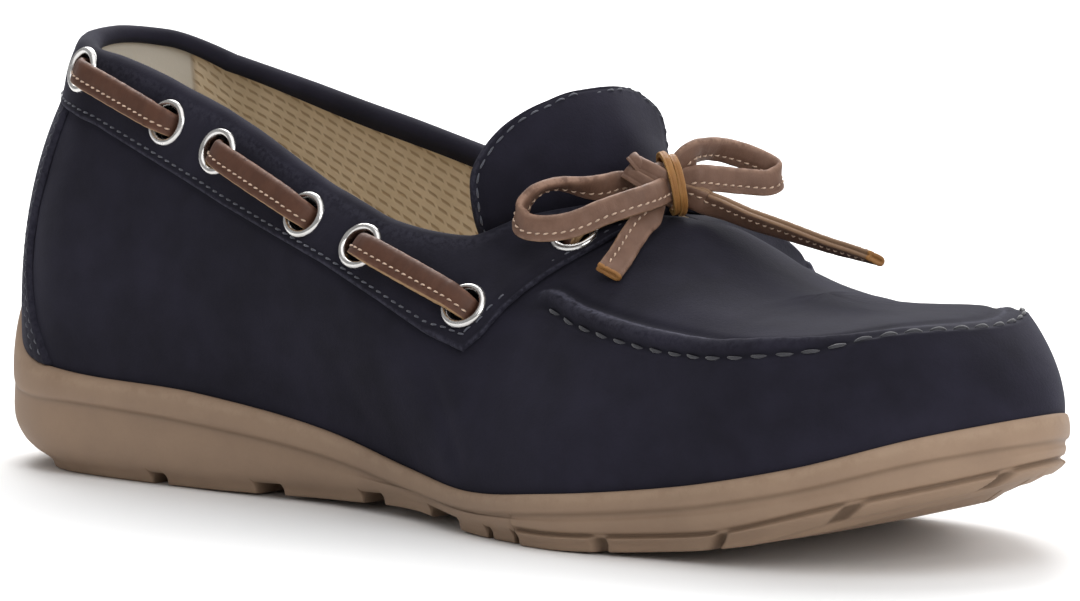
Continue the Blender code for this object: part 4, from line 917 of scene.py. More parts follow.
def upper_grid():
    """Places, t and depth of the upper's outer and lining rows, column by column."""
    places = np.arange(COLUMNS) * 2.0 * HALF / COLUMNS
    crest = surface(places, np.ones(COLUMNS))
    run = np.concatenate([[0.0], np.cumsum(np.linalg.norm(np.diff(crest, axis=0), axis=1))]) / MM
    near = np.linalg.norm(crest - surface(places, np.zeros(COLUMNS)), axis=1) / MM
    far = np.linalg.norm(surface(places, np.full(COLUMNS, 2.0)) - crest, axis=1) / MM
    skirt = np.linspace(0.0, 1.0, 27)[:-1]
    climb = seam_climb(q_of(places))
    strip = np.linspace(-SEAM_ZONE, SEAM_ZONE, 29)[None, :] + climb[:, None]
    strip = 1.0 + np.where(strip < 0.0, strip / near[:, None], strip / far[:, None])
    vamp = np.linspace(0.0, 1.0, 25)[1:]
    t = np.concatenate([
        skirt[None, :] * strip[:, :1],
        strip,
        strip[:, -1:] + vamp[None, :] * (2.0 - strip[:, -1:]),
    ], axis=1)
    s = np.repeat(places[:, None], t.shape[1], axis=1)
    above = np.where(t < 1.0, (t - 1.0) * near[:, None], (t - 1.0) * far[:, None]) - climb[:, None]
    return places, s, t, above, run


def make_upper():
    places, s, t, above, run = upper_grid()
    wave = np.cos(2.0 * math.pi * run / PUCKER)[:, None]
    risen = seam_amount(places)[:, None]
    depth = risen * seam_shape(above, wave) * smooth((SEAM_ZONE + 0.2 - np.abs(above)) / 1.4)
    depth = depth + creases(s, t) + 0.16 * ripple(s, t, 3, 46.0) + 0.05 * ripple(s, t, 5, 13.0)
    closed = np.minimum(places, 2.0 * HALF - places) >= side(MOUTH_END) - 0.01
    depth = depth * np.where(closed[:, None], smooth((2.0 - t) / 0.06), 1.0)
    q = q_of(s)
    depth = depth - 0.6 * bump(above + 0.2, 2.4) * smooth((q - toe_turn(12)) / 40.0)
    outer = skin(s, t, depth)
    # Painted highlight along the seam's crest and the top of its lip.
    rub_and_highlight = risen * (2.4 * bump(above - 0.8, 0.6) + 0.25 * bump(above + 0.9, 0.8))
    # Painted shade in the grooves on either side of the seam's lip.
    painted_shade = risen * (0.45 * bump(above + 2.9, 0.6) + 0.3 * bump(above - 2.2, 0.8))
    down = np.linspace(2.0, 0.0, 26)
    inner_s = np.repeat(places[:, None], len(down), axis=1)
    inner = skin(inner_s, np.repeat(down[None, :], COLUMNS, axis=0), np.full(inner_s.shape, -WALL))
    points = np.concatenate([outer, inner], axis=1)
    split = outer.shape[1]
    forward = points[:, :split, 0] / MM + MIDDLE_U
    swell = bump(forward - VAMP_LIFT_AT, VAMP_LIFT_REACH)
    points[:, :split, 2] += VAMP_LIFT * MM * swell * smooth((t - 0.95) / 0.35)
    for row in (split - 1, split):
        mirror = (-np.arange(COLUMNS)) % COLUMNS
        middle = 0.5 * (points[:, row] + points[mirror, row])
        points[closed, row] = middle[closed]
        fan = closed & (np.minimum(places, 2.0 * HALF - places) >= HALF - TOE_ARC - 0.01)
        points[fan, row] = points[fan, row].mean(axis=0)
    rows = points.shape[1]
    faces, column, row = quads(COLUMNS, rows, True)
    height = np.cumsum(np.linalg.norm(np.diff(points, axis=1, prepend=points[:, :1]), axis=2), axis=1) / MM
    track = np.append(run, run[-1] + 2.0 * HALF / COLUMNS)
    nxt = (column + 1) % COLUMNS
    uv = np.stack([np.stack([track[column], height[column, row]], 1),
                   np.stack([track[column + 1], height[nxt, row]], 1),
                   np.stack([track[column + 1], height[nxt, row + 1]], 1),
                   np.stack([track[column], height[column, row + 1]], 1)], 1)
    keep = ~((row == split - 1) & closed[column] & closed[nxt])
    slots = (row >= split - 1).astype(int)
    lead = np.minimum(places, 2.0 * HALF - places)
    heel_piece = smooth((side(LINING_SEAM) - lead) / 0.6)[:, None]
    plain = np.concatenate([np.zeros_like(outer[..., 0]), np.repeat(heel_piece, len(down), 1)], axis=1)
    pad = np.zeros((COLUMNS, len(down)))
    # Painted shade along the lining's seam.
    seam_line = np.repeat(0.5 * bump(lead - side(LINING_SEAM), 0.7)[:, None], len(down), 1)
    fields = {"rub_and_highlight": np.concatenate([rub_and_highlight, pad], 1).ravel(),
              "painted_shade": np.concatenate([painted_shade, seam_line], 1).ravel(), "plain": plain.ravel()}
    made = piece("upper_leather", points.reshape(-1, 3), faces[keep], (NUBUCK, LINING), slots[keep], uv[keep],
                 fields, weld=0.002)
    return made


LINING_SEAM = 17.5           # u of the seam where the plain heel lining ends


# ---- collar band

PAD = 0.45                   # how far the band swells between its edges
EYE_DIMPLE = 0.35


def eyelet_frames():
    """(side, number, track place, t, centre, along, up, out) of each eyelet."""
    found = []
    for inner in (False, True):
        for number, row in enumerate(EYELETS, 1):
            t = float(at_height(row.place, row.z))
            s = 2.0 * HALF - row.place if inner else row.place
            t = t - INNER_DROP if inner else t
            along, up, out = frame_at(s, t)
            found.append(("inner" if inner else "outer", number, s, t, skin(s, t, 0.0), along, up, out))
    return found


def band_places():
    start = side(168.0)
    half = np.concatenate([np.linspace(start, side(148), 44)[:-1], np.linspace(side(148), HEEL_ARC, 104)[:-1],
                           np.linspace(HEEL_ARC, 0.0, 50)])
    return np.concatenate([half, (2.0 * HALF - half[:-1])[::-1]])


def make_band(eyelets):
    """The collar band: a turned leather strip rolled over the top edge, sunk a little round each eyelet of the
    outer row.
    """
    places = band_places()
    low = np.array([float(at_height(s, band_edge_z(s))) for s in places])
    far = np.array([reach(s, 1) for s in places])
    rise = np.concatenate([[0.0, 0.004, 0.012, 0.024, 0.04], np.linspace(0.06, 1.0, 26)])
    columns = []
    rub_and_highlight, dark = [], []
    for s, start, above in zip(places, low, far):
        t = start + (2.0 - start) * rise
        up_mm = rise * (2.0 - start) * above
        edge = np.sqrt(np.clip(1.0 - (1.0 - np.clip(up_mm / 0.7, 0.0, 1.0)) ** 2, 0.0, 1.0))
        stitch_line = -0.22 * bump(up_mm - STITCH_IN, 0.5)
        puff = PAD * smooth((up_mm - 1.6) / 5.0) * (0.35 + 0.65 * smooth((2.02 - t) / 0.35))
        columns.append((t, BAND_UNDER + 0.05 + (BAND_THICK - 0.05) * edge + stitch_line + puff))
        rub_and_highlight.append(0.6 * bump(up_mm - 0.35, 0.35) + 0.3 * bump((2.0 - t) * above, 2.2))
        # Painted shade in the stitch line's groove.
        dark.append(0.3 * bump(up_mm - STITCH_IN, 0.35))
    t = np.array([c[0] for c in columns])
    depth = np.array([c[1] for c in columns])
    s = np.repeat(places[:, None], t.shape[1], axis=1)
    base = surface(s, t)
    for eye in eyelets[:len(EYELETS)]:          # the outer row alone draws the band in
        away = np.linalg.norm(base - eye[4], axis=2) / MM
        depth = depth - EYE_DIMPLE * smooth((8.5 - away) / 4.5)
    depth = depth + 0.12 * ripple(s, t, 11, 33.0)
    outer = skin(s, t, depth)
    loops = [outer]
    _, up, out = frame_at(places, np.full(len(places), 2.0))
    middle = surface(places, np.full(len(places), 2.0)) - out * (WALL / 2.0) * MM
    grow = depth[:, -1] - BAND_OUT
    for angle in (22.0, 45.0, 68.0, 90.0, 112.0, 135.0, 158.0):
        turn = math.cos(math.radians(angle)) * out + math.sin(math.radians(angle)) * up
        share = grow * math.cos(math.radians(angle) / 2.0) ** 2
        loops.append((middle + turn * ((WALL / 2.0 + BAND_OUT) + share)[:, None] * MM)[:, None])
    tuck = 2.0 - BAND_TUCK * (0.2 + 0.8 * smooth((q_of(places) - HEEL_ARC) / 40.0)) / far
    down = np.linspace(0.0, 1.0, 9)
    tt = 2.0 + (tuck - 2.0)[:, None] * down[None, :]
    thin = np.where(down > 0.9, 0.35, 0.0) + 0.3 * down
    ss = np.repeat(places[:, None], len(down), axis=1)
    loops.append(skin(ss, tt, -WALL - BAND_OUT + thin[None, :] + 0.0 * tt))
    ends = tt[:, ::-1]
    loops.append(skin(ss, ends, np.full(tt.shape, -WALL - 0.35)))
    back = t[:, ::-3]
    behind = np.repeat(places[:, None], back.shape[1], axis=1)
    loops.append(skin(behind, back, np.full(back.shape, BAND_UNDER)))
    points = np.concatenate(loops, axis=1)
    count, rows = points.shape[:2]
    points = np.concatenate([points, points[:, :1]], axis=1)
    faces, _, row = quads(count, rows + 1, False)
    pad = rows + 1 - t.shape[1]
    fields = {"rub_and_highlight": np.concatenate([np.array(rub_and_highlight), np.zeros((count, pad))], 1).ravel(),
              "painted_shade": np.concatenate([np.array(dark), np.zeros((count, pad))], 1).ravel()}
    inside = (row >= t.shape[1] + 6).astype(int)
    body = points.reshape(-1, 3)
    made = piece("collar_band_leather", body, faces, (NUBUCK, BINDING), inside, None, fields, weld=0.002)
    close_ends(made)
    return made, places, outer, out


def close_ends(made):
    """Fill the open ends of a wall and turn its faces outward."""
    shell = bmesh.new()
    shell.from_mesh(made.data)
    open_edges = [e for e in shell.edges if e.is_boundary]
    bmesh.ops.holes_fill(shell, edges=open_edges, sides=0)
    bmesh.ops.recalc_face_normals(shell, faces=shell.faces)
    shell.to_mesh(made.data)
    shell.free()


def punch(made, eyelets, low, high, radius=3.8):
    """Cut every eyelet's hole between two depths."""
    points, faces = [], []
    sides = 28
    for eye in eyelets:
        start = len(points)
        for depth in (low, high):
            points += list(ring_points(eye[4], eye[5], eye[6], eye[7], radius, depth, sides))
        faces += [(start + i, start + (i + 1) % sides, start + sides + (i + 1) % sides, start + sides + i)
                  for i in range(sides)]
        faces += [tuple(start + i for i in reversed(range(sides))),
                  tuple(start + sides + i for i in range(sides))]
    mesh = bpy.data.meshes.new("hole cutter")
    mesh.from_pydata([tuple(p) for p in points], [], faces)
    shell = bmesh.new()
    shell.from_mesh(mesh)
    bmesh.ops.recalc_face_normals(shell, faces=shell.faces)
    shell.to_mesh(mesh)
    shell.free()
    mesh.materials.append(made.data.materials[0])
    cutter = bpy.data.objects.new("hole cutter", mesh)
    bpy.context.scene.collection.objects.link(cutter)
    cut = made.modifiers.new("holes", "BOOLEAN")
    cut.operation = "DIFFERENCE"
    cut.object = cutter
    bpy.context.view_layer.update()
    done = bpy.data.meshes.new_from_object(made.evaluated_get(bpy.context.evaluated_depsgraph_get()))
    made.modifiers.clear()
    made.data = done
    bpy.data.objects.remove(cutter, do_unlink=True)


def ring_points(centre, along, up, out, radius, depth, sides):
    turn = np.arange(sides) * 2.0 * math.pi / sides
    return centre + MM * (radius * (np.cos(turn)[:, None] * along + np.sin(turn)[:, None] * up) + depth * out)


STITCH_IN = 1.3              # stitch row from the band's lower edge
WING_STITCH_IN = 1.7


def inset(points, normals, distance, inward=1.0):
    """A line moved sideways on its surface by distance mm."""
    ahead = unit(np.gradient(points, axis=0))
    return points + np.cross(normals, ahead) * (distance * MM * inward)


def band_stitches(places, outer):
    """Rows along the band's lower edge and up the front edge of each wing."""
    lower, front = [], []
    corner = side(148)
    q = np.minimum(places, 2.0 * HALF - places)
    edge = outer[:, 5]
    normals = frame_at(places, np.array([float(at_height(s, band_edge_z(s))) for s in places]))[2]
    keep = q <= corner + 0.01
    sewn = inset(edge[keep], normals[keep], STITCH_IN - 0.5, -1.0)
    lower.append((sewn + normals[keep] * 0.02 * MM, normals[keep]))
    for inner in (False, True):
        wing = (q >= corner - 0.01) & ((places > HALF) == inner)
        front.append((inset(edge[wing], normals[wing], WING_STITCH_IN - 0.4, -1.0), normals[wing]))
    return lower, front


# ---- heel counter

def make_counter():
    across = np.linspace(-1.0, 1.0, 90)
    up = np.linspace(0.0, 1.0, 44)
    turn = np.interp(24.0 + 50.0 * up, [r.z for r in COUNTER], [r.degrees for r in COUNTER])
    s = (across[:, None] * heel_turn(turn)[None, :]) % (2.0 * HALF)
    low = SOLE["rim"](s) + 0.2
    high = np.vectorize(band_edge_z)(s) + 0.6
    z = low + up[None, :] * (high - low)
    t = at_height(s, z)
    side_gap = (1.0 - np.abs(across))[:, None] * 0.5 * np.abs(heel_turn(turn))[None, :] * 0.64 * 2.0
    edge = np.sqrt(np.clip(1.0 - (1.0 - np.clip(side_gap / 0.7, 0.0, 1.0)) ** 2, 0.0, 1.0))
    groove = -0.18 * (bump(side_gap - 1.5, 0.4) + bump(side_gap - 3.7, 0.4))
    depth = 0.1 + 1.15 * edge + groove + 0.1 * ripple(s, t, 21, 30.0)
    outer = skin(s, t, depth)
    back = skin(s, t, np.full(s.shape, 0.05))
    points = np.concatenate([outer, back[:, ::-1]], axis=1)
    count, rows = points.shape[:2]
    points = np.concatenate([points, points[:, :1]], axis=1)
    faces, _, _ = quads(count, rows + 1, False)
    rub_and_highlight = np.zeros(points.shape[:2])
    rub_and_highlight[:, :44] = 0.45 * bump(side_gap - 0.3, 0.4)
    # Painted shade in the two stitch grooves.
    painted_shade = np.zeros(points.shape[:2])
    painted_shade[:, :44] = 0.3 * (bump(side_gap - 1.5, 0.35) + bump(side_gap - 3.7, 0.35))
    made = piece("heel_counter_leather", points.reshape(-1, 3), faces, (NUBUCK,), None, None,
                 {"rub_and_highlight": rub_and_highlight.ravel(), "painted_shade": painted_shade.ravel()}, weld=0.002)
    close_ends(made)
    rows_of_stitches = []
    normals = frame_at(s, t)[2]
    for gap in (1.5, 3.7):
        for end in (0, -1):
            line, out = [], []
            for j in range(1, 43):
                half_line = across if end == -1 else -across
                column = int(np.argmin(np.abs(side_gap[:, j] - gap) + 100.0 * (half_line < 0.0)))
                line.append(outer[column, j])
                out.append(normals[column, j])
            rows_of_stitches.append((smooth_line(np.array(line)), np.array(out)))
    return made, rows_of_stitches


def smooth_line(points, times=6):
    for _ in range(times):
        points[1:-1] = 0.25 * points[:-2] + 0.5 * points[1:-1] + 0.25 * points[2:]
    return points


# ---- tongue

def tongue_sheet(r, v):
    """Middle surface of the tongue: r down its length in rows, v across from -1 to 1, in metres."""
    rows = {c: np.array([getattr(row, c) for row in TONGUE]) for c in TongueRow._fields}
    at = {c: smooth_rows(rows[c], r) for c in TongueRow._fields}
    a = arch(v)
    u = at["u"] - at["back"] * a + at["twist"] * v
    return np.stack([u - MIDDLE_U, at["y"] + at["half"] * v - MIDDLE_Y, at["z"] - at["drop"] * a], -1) * MM


def tongue_frame(r, v):
    e = 0.02
    inner = np.clip(r, e, len(TONGUE) - 1.0 - e)
    along = tongue_sheet(inner + e, v) - tongue_sheet(inner - e, v)
    across = tongue_sheet(r, np.clip(v + e, -1, 1)) - tongue_sheet(r, np.clip(v - e, -1, 1))
    return unit(np.cross(across, along))


def make_tongue():
    last = len(TONGUE) - 1.0
    r, v = np.linspace(0.0, last, 110), np.linspace(-1.0, 1.0, 90)
    rr, vv = np.meshgrid(r, v, indexing="ij")
    sheet, out = tongue_sheet(rr, vv), tongue_frame(rr, vv)
    half = np.interp(rr, np.arange(len(TONGUE)), [row.half for row in TONGUE])
    from_edge = np.minimum((1.0 - np.abs(vv)) * half * 1.25, (last - rr) * 2.4 + 0.0)
    round_off = np.sqrt(np.clip(1.0 - (1.0 - np.clip(from_edge / 0.9, 0.0, 1.0)) ** 2, 0.0, 1.0))
    body = TONGUE_THICK / 2.0 * (0.12 + 0.88 * round_off)
    groove = 0.2 * bump(from_edge - TONGUE_STITCH_IN, 0.5)
    puff = 0.35 * smooth((from_edge - 2.0) / 6.0)
    front = sheet + out * ((body - groove + puff) * MM)[..., None]
    back = sheet - out * (body * MM)[..., None]
    points = np.concatenate([front, back[:, ::-1]], axis=1)
    count, rows = points.shape[:2]
    points = np.concatenate([points, points[:, :1]], axis=1)
    faces, column, row = quads(count, rows + 1, False)
    rub_and_highlight = np.zeros(points.shape[:2])
    rub_and_highlight[:, :90] = 0.5 * bump(from_edge - 0.5, 0.5)
    # Painted shade in the stitch groove by the edge.
    painted_shade = np.zeros(points.shape[:2])
    painted_shade[:, :90] = 0.3 * bump(from_edge - TONGUE_STITCH_IN, 0.35)
    slots = ((row >= 96) & (row <= 173)).astype(int)
    uv = np.stack([np.stack([(row + a) * 0.5, (column + b) * 0.5], 1)
                   for a, b in ((0, 0), (0, 1), (1, 1), (1, 0))], 1)
    made = piece("tongue_leather", points.reshape(-1, 3), faces, (NUBUCK, LINING), slots, uv,
                 {"rub_and_highlight": rub_and_highlight.ravel(), "painted_shade": painted_shade.ravel(), "plain": np.ones(points.shape[:2]).ravel()},
                 weld=0.002)
    close_ends(made)
    e = 0.001
    low = 3.6
    rs = np.concatenate([np.linspace(low, last - e, 60), np.full(9, last - e), np.linspace(last - e, low, 60)])
    vs = np.concatenate([np.full(60, -1.0), np.linspace(-0.8, 0.8, 9), np.full(60, 1.0)])
    line, normal = tongue_sheet(rs, vs), tongue_frame(rs, vs)
    line = resample(smooth_line(line, 3), 0.6, normal)
    line, normal = line[0], unit(line[1])
    row_in = smooth_line(inset(line, normal, TONGUE_STITCH_IN, TONGUE_INWARD), 4)
    return made, [(row_in + normal * (TONGUE_THICK / 2.0 + 0.05) * MM, normal)]


TONGUE_STITCH_IN = 1.5
TONGUE_INWARD = -1.0


# ---- eyelets

# The ring's section from inside the barrel round the rolled flange: (radius, distance out from the upper).
RING = ((3.35, -1.3), (3.35, 1.2), (3.42, 1.9), (3.6, 2.35), (3.9, 2.6), (4.25, 2.65), (4.6, 2.5),
        (4.85, 2.2), (5.0, 1.8), (5.0, 1.5), (4.85, 1.35), (3.7, 1.3), (3.65, -1.3))
RING_SIDES = 56


def make_eyelet_rings(eyelets):
    points, faces = [], []
    rows = len(RING)
    base, _, _ = quads(RING_SIDES, rows + 1, True)
    for eye in eyelets:
        rings = np.array([ring_points(eye[4], eye[5], eye[6], eye[7], r, d - 0.35, RING_SIDES)
                          for r, d in RING + RING[:1]])
        grid = np.swapaxes(rings, 0, 1)
        faces.append(base + len(points) * RING_SIDES * (rows + 1))
        points.append(grid.reshape(-1, 3))
    made = piece("eyelet_rings", np.concatenate(points), np.concatenate(faces), (NICKEL,), weld=0.002)
    shell = bmesh.new()
    shell.from_mesh(made.data)
    bmesh.ops.recalc_face_normals(shell, faces=shell.faces)
    shell.to_mesh(made.data)
    shell.free()
    names = [f"eyelet_{eye[0]}_{eye[1]}" for eye in eyelets]
    return dress(made, "eyelet", *names)


# ---- folded lace

# Section of the folded lace: (share of half the width, share of half the thickness); raw edges at -1,
# the fold at +1.
FOLD = ((-1.0, 0.5), (-0.98, 0.86), (-0.9, 0.94), (-0.7, 0.97), (-0.52, 0.96), (-0.4, 0.86), (-0.3, 0.96),
        (0.0, 1.0), (0.35, 1.0), (0.62, 0.95), (0.84, 0.72), (0.96, 0.4), (1.0, 0.0), (0.96, -0.4),
        (0.84, -0.72), (0.62, -0.95), (0.35, -1.0), (0.0, -1.0), (-0.3, -0.96), (-0.4, -0.86),
        (-0.52, -0.96), (-0.7, -0.97), (-0.9, -0.94), (-0.98, -0.86), (-1.0, -0.5), (-0.96, -0.12), (-0.86, 0.0), (-0.96, 0.12))
SEAM_AT = -0.4               # where the stitches run, as a share of half the width
LACE_STEP = 0.45


def lace_rows(path, across):
    """Centre line, widthways and normal directions at every station of a lace."""
    ahead = unit(np.gradient(path, axis=0))
    across = unit(across - ahead * np.sum(across * ahead, axis=1, keepdims=True))
    return ahead, across, np.cross(ahead, across)


def lace_piece(name, path, across, width, thick, finish, seed=1, wrinkle=0.06):
    """A folded and sewn lace along a path; across points from raw edges to fold. Returns stitch rows."""
    _, across, normal = lace_rows(path, across)
    run = run_length(path)
    shape = np.array(FOLD)
    count, rows = len(path), len(FOLD)
    rng = np.random.default_rng(seed)
    wave = np.zeros(count)
    for _ in range(6):
        wave += np.sin(2.0 * math.pi * run / rng.uniform(1.6, 6.5) + rng.uniform(0.0, 6.3)) / 6.0
    a = shape[None, :, 0] * (width * 0.5)[:, None] + 0.05 * wave[:, None]
    crumple = 1.0 + wrinkle * 2.0 * wave[:, None] * np.cos(shape[None, :, 0] * 2.0)
    b = shape[None, :, 1] * (thick * 0.5)[:, None] * crumple
    points = path[:, None] + (a[..., None] * across[:, None] + b[..., None] * normal[:, None]) * MM
    around = np.concatenate([[0.0], np.cumsum(np.hypot(*np.diff(shape, axis=0).T))]) * 2.0
    faces, column, row = quads(count, rows, False)
    closing = np.array([(i * rows + rows - 1, (i + 1) * rows + rows - 1, (i + 1) * rows, i * rows)
                        for i in range(count - 1)])
    corners = ((0, 0), (1, 0), (1, 1), (0, 1))
    uv = np.stack([np.stack([run[column + i], around[row + j]], 1) for i, j in corners], 1)
    closing_uv = np.stack([
        np.stack([run[:-1] if i == 0 else run[1:], np.full(count - 1, around[-1] + 0.3 * j)], 1)
        for i, j in corners], 1)
    raw = np.tile((np.abs(shape[:, 1]) < 0.9) & (shape[:, 0] < -0.85), (count, 1)).astype(float)
    paled = 0.8 * np.exp(-((shape[:, 0] - 0.95) / 0.12) ** 2) + 0.5 * np.exp(-((shape[:, 0] + 0.93) / 0.06) ** 2)
    rub_and_highlight = np.tile(paled, (count, 1))
    made = piece(name, points.reshape(-1, 3), np.concatenate([faces, closing]), (finish,), None,
                 np.concatenate([uv, closing_uv]), {"raw": raw.ravel(), "rub_and_highlight": rub_and_highlight.ravel(),
                                                    "painted_shade": np.zeros(count * rows)})
    close_ends(made)
    seam = path + across * (SEAM_AT * width * 0.5 * MM)[:, None]
    face = normal * (0.93 * thick * 0.5 * MM)[:, None]
    return made, [(seam + face, normal), (seam - face, -normal)]


def join(name, made):
    """Several pieces as one."""
    with bpy.context.temp_override(active_object=made[0], object=made[0], selected_objects=made,
                                   selected_editable_objects=made):
        bpy.ops.object.join()
    made[0].name = made[0].data.name = name
    return made[0]


def bar_route(a, b):
    """Points of one bar, from inside eyelet a over its flange, along the wall and down inside eyelet b."""
    stations = []
    for eye, far in ((a, b), (b, a)):
        out, away = eye[7], far[4] - eye[4]
        ahead = unit(away - out * np.dot(away, out))
        up = np.cross(out, ahead)
        up = up if up[2] > 0.0 else -up
        stations.append([(eye[4] + (along * ahead + d * out) * MM, up, w, h) for along, d, w, h in DIVE])
    middle = []
    near, far = stations[0][-1], stations[1][-1]
    for f in (0.33, 0.67):
        s, t = a[2] + f * (b[2] - a[2]), a[3] + f * (b[3] - a[3])
        out = frame_at(s, t)[2]
        taut = near[0] * (1.0 - f) + far[0] * f
        lift = max(0.0, BAR_OUT * MM - float(np.dot(taut - skin(s, t, 0.0), out)))
        middle.append((taut + out * lift, near[1] * (1.0 - f) + far[1] * f, LACE_WIDTH + 0.5, LACE_THICK))
    return stations[0] + middle + stations[1][::-1]


# A lace's turn into an eyelet: (distance back along the bar, distance from the upper, width, thickness).
DIVE = ((-1.5, -1.2, 4.6, 1.8), (-1.1, 0.9, 4.8, 1.9), (0.3, 2.6, 5.1, 1.9), (2.6, 3.6, 5.4, 2.0),
        (5.2, 3.75, 5.6, 2.0))
BAR_OUT = 3.1


def finish_route(stations, step=LACE_STEP):
    path = catmull([p for p, _, _, _ in stations])
    across = catmull([a for _, a, _, _ in stations])
    size = catmull([(w, h) for _, _, w, h in stations])
    path, across, size = resample(path, step, across, size)
    return path, unit(across), size[:, 0], size[:, 1]


def make_bars(eyelets):
    made, rows, names = [], [], []
    for where in ("outer", "inner"):
        ring = {e[1]: e for e in eyelets if e[0] == where}
        for bar, (rear, front) in enumerate(((1, 2), (3, 4), (5, 6)), 1):
            path, across, width, thick = finish_route(bar_route(ring[rear], ring[front]))
            piece_made, stitches = lace_piece(f"bar {where} {bar}", path, across, width, thick, SHADED_LACE,
                                              seed=bar)
            made.append(piece_made)
            out = frame_at(*ring[rear][2:4])[2]
            shown = max(stitches, key=lambda row: float(np.dot(row[1][len(row[1]) // 2], out)))
            rows.append(trim(shown, 2.2))
            names.append(f"lace_bar_{where}_{bar}")
        eye = ring[7]
        port = knot_port(where)
        away = port - eye[4]
        ahead = unit(away - eye[7] * np.dot(away, eye[7]))
        over = np.cross(eye[7], ahead)
        over = over * (1.0 if over[2] > 0.0 else -1.0)
        stations = [(eye[4] + (along * ahead + d * eye[7]) * MM, over, w, h) for along, d, w, h in DIVE]
        last = stations[-1][0]
        stations.append((0.5 * (last + port) + eye[7] * 0.4 * MM, over, LACE_WIDTH, LACE_THICK))
        stations.append((port, over, LACE_WIDTH - 0.4, LACE_THICK))
        path, across, width, thick = finish_route(stations)
        piece_made, stitches = lace_piece(f"tie {where}", path, across, width, thick, SHADED_LACE, seed=9)
        made.append(piece_made)
        rows += [trim(row, 2.0) for row in stitches]
        names.append(f"lace_tie_{where}")
    return dress(join("lace_bars", made), "lace", *names), rows


def trim(row, ends):
    """A stitch row without its first and last few mm."""
    run = run_length(row[0])
    keep = (run > ends) & (run < run[-1] - ends)
    return row[0][keep], row[1][keep]


# ---- bow

def bow_point(u, y, z):
    return np.array([u - MIDDLE_U, y - MIDDLE_Y, z]) * MM


def knot_port(where):
    return bow_point(166.2, -8.2, 63.0) if where == "outer" else bow_point(166.6, 4.0, 65.4)


LaceRow = namedtuple("LaceRow", "u y z tilt")
LOOP_OUTER = (
    LaceRow(163.2, -7.7, 67.8, 4), LaceRow(162.0, -11.8, 67.4, -14), LaceRow(160.0, -15.4, 67.8, -50),
    LaceRow(157.5, -19.0, 68.4, -70), LaceRow(155.4, -22.4, 67.6, -66), LaceRow(154.0, -25.0, 65.5, -45),
    LaceRow(153.9, -26.8, 62.6, -15), LaceRow(156.4, -27.6, 60.5, -5), LaceRow(161.3, -26.2, 60.3, -4),
    LaceRow(165.3, -23.2, 61.3, -6), LaceRow(168.7, -19.6, 63.3, -9), LaceRow(172.1, -15.8, 65.0, -10),
    LaceRow(173.6, -13.2, 65.8, -12),
)
LOOP_INNER = (
    LaceRow(173.0, 2.2, 73.6, 14), LaceRow(173.1, 5.2, 74.3, 30), LaceRow(173.6, 10.0, 74.2, 36),
    LaceRow(175.4, 15.7, 72.6, 24), LaceRow(178.0, 19.4, 70.6, 8), LaceRow(180.2, 20.4, 69.2, 8),
    LaceRow(181.2, 19.2, 68.0, 6), LaceRow(180.7, 16.6, 67.3, 4), LaceRow(178.6, 11.9, 67.8, 3),
    LaceRow(176.8, 6.1, 68.6, 2), LaceRow(175.6, 2.0, 69.1, 2),
)
END_OUTER = (
    LaceRow(173.0, -9.8, 62.4, -142), LaceRow(173.2, -12.9, 60.8, -138), LaceRow(173.4, -16.5, 58.0, -130),
    LaceRow(174.4, -20.9, 55.0, -124), LaceRow(175.2, -25.2, 52.5, -122),
)
END_INNER = (
    LaceRow(175.9, 1.6, 64.7, -160), LaceRow(177.3, 2.6, 63.9, -156), LaceRow(180.9, 3.4, 63.0, -150),
    LaceRow(186.7, 4.2, 61.3, -143), LaceRow(193.8, 4.8, 59.8, -136), LaceRow(199.9, 5.2, 58.5, -130),
    LaceRow(206.2, 5.2, 57.3, -124), LaceRow(212.6, 5.0, 56.4, -118), LaceRow(217.5, 4.6, 55.7, -113),
)
KNOT_MIDDLE = (169.6, -3.0, 67.9)


def toward_knot(row, share):
    """The point that lies this share of the way from the row to the knot's middle."""
    return LaceRow(*(a + share * (b - a) for a, b in zip(row[:3], KNOT_MIDDLE)), row.tilt)


# Each lace of the bow starts inside the knot, and a loop ends there too.
OUTER_RETURN = (
    LaceRow(174.0, -9.4, 66.6, -12), LaceRow(173.1, -5.6, 67.2, -12), LaceRow(171.9, -1.6, 67.8, -10),
)
BOW = (("lace_loop_outer", (toward_knot(LOOP_OUTER[0], 0.6),) + LOOP_OUTER + OUTER_RETURN, "object"),
       ("lace_loop_inner", (toward_knot(LOOP_INNER[0], 0.6),) + LOOP_INNER
        + (toward_knot(LOOP_INNER[-1], 0.6),), "object"),
       ("lace_end_outer", (toward_knot(END_OUTER[0], 1.45), toward_knot(END_OUTER[0], 0.7)) + END_OUTER,
        "bare"),
       ("lace_end_inner", (toward_knot(END_INNER[0], 0.7),) + END_INNER, "bare"))


def bow_route(rows):
    knots = np.array(rows, float)
    fine = catmull(knots, 16)
    path = np.array([bow_point(*row[:3]) for row in fine])
    path, tilt = resample(path, LACE_STEP, fine[:, 3:4])
    ahead = unit(np.gradient(path, axis=0))
    rise = np.tile((0.0, 0.0, 1.0), (len(path), 1))
    rise = unit(rise - ahead * np.sum(rise * ahead, axis=1, keepdims=True))
    turn = np.radians(tilt[:, 0])
    across = rise * np.cos(turn)[:, None] + np.cross(ahead, rise) * np.sin(turn)[:, None]
    return path, across


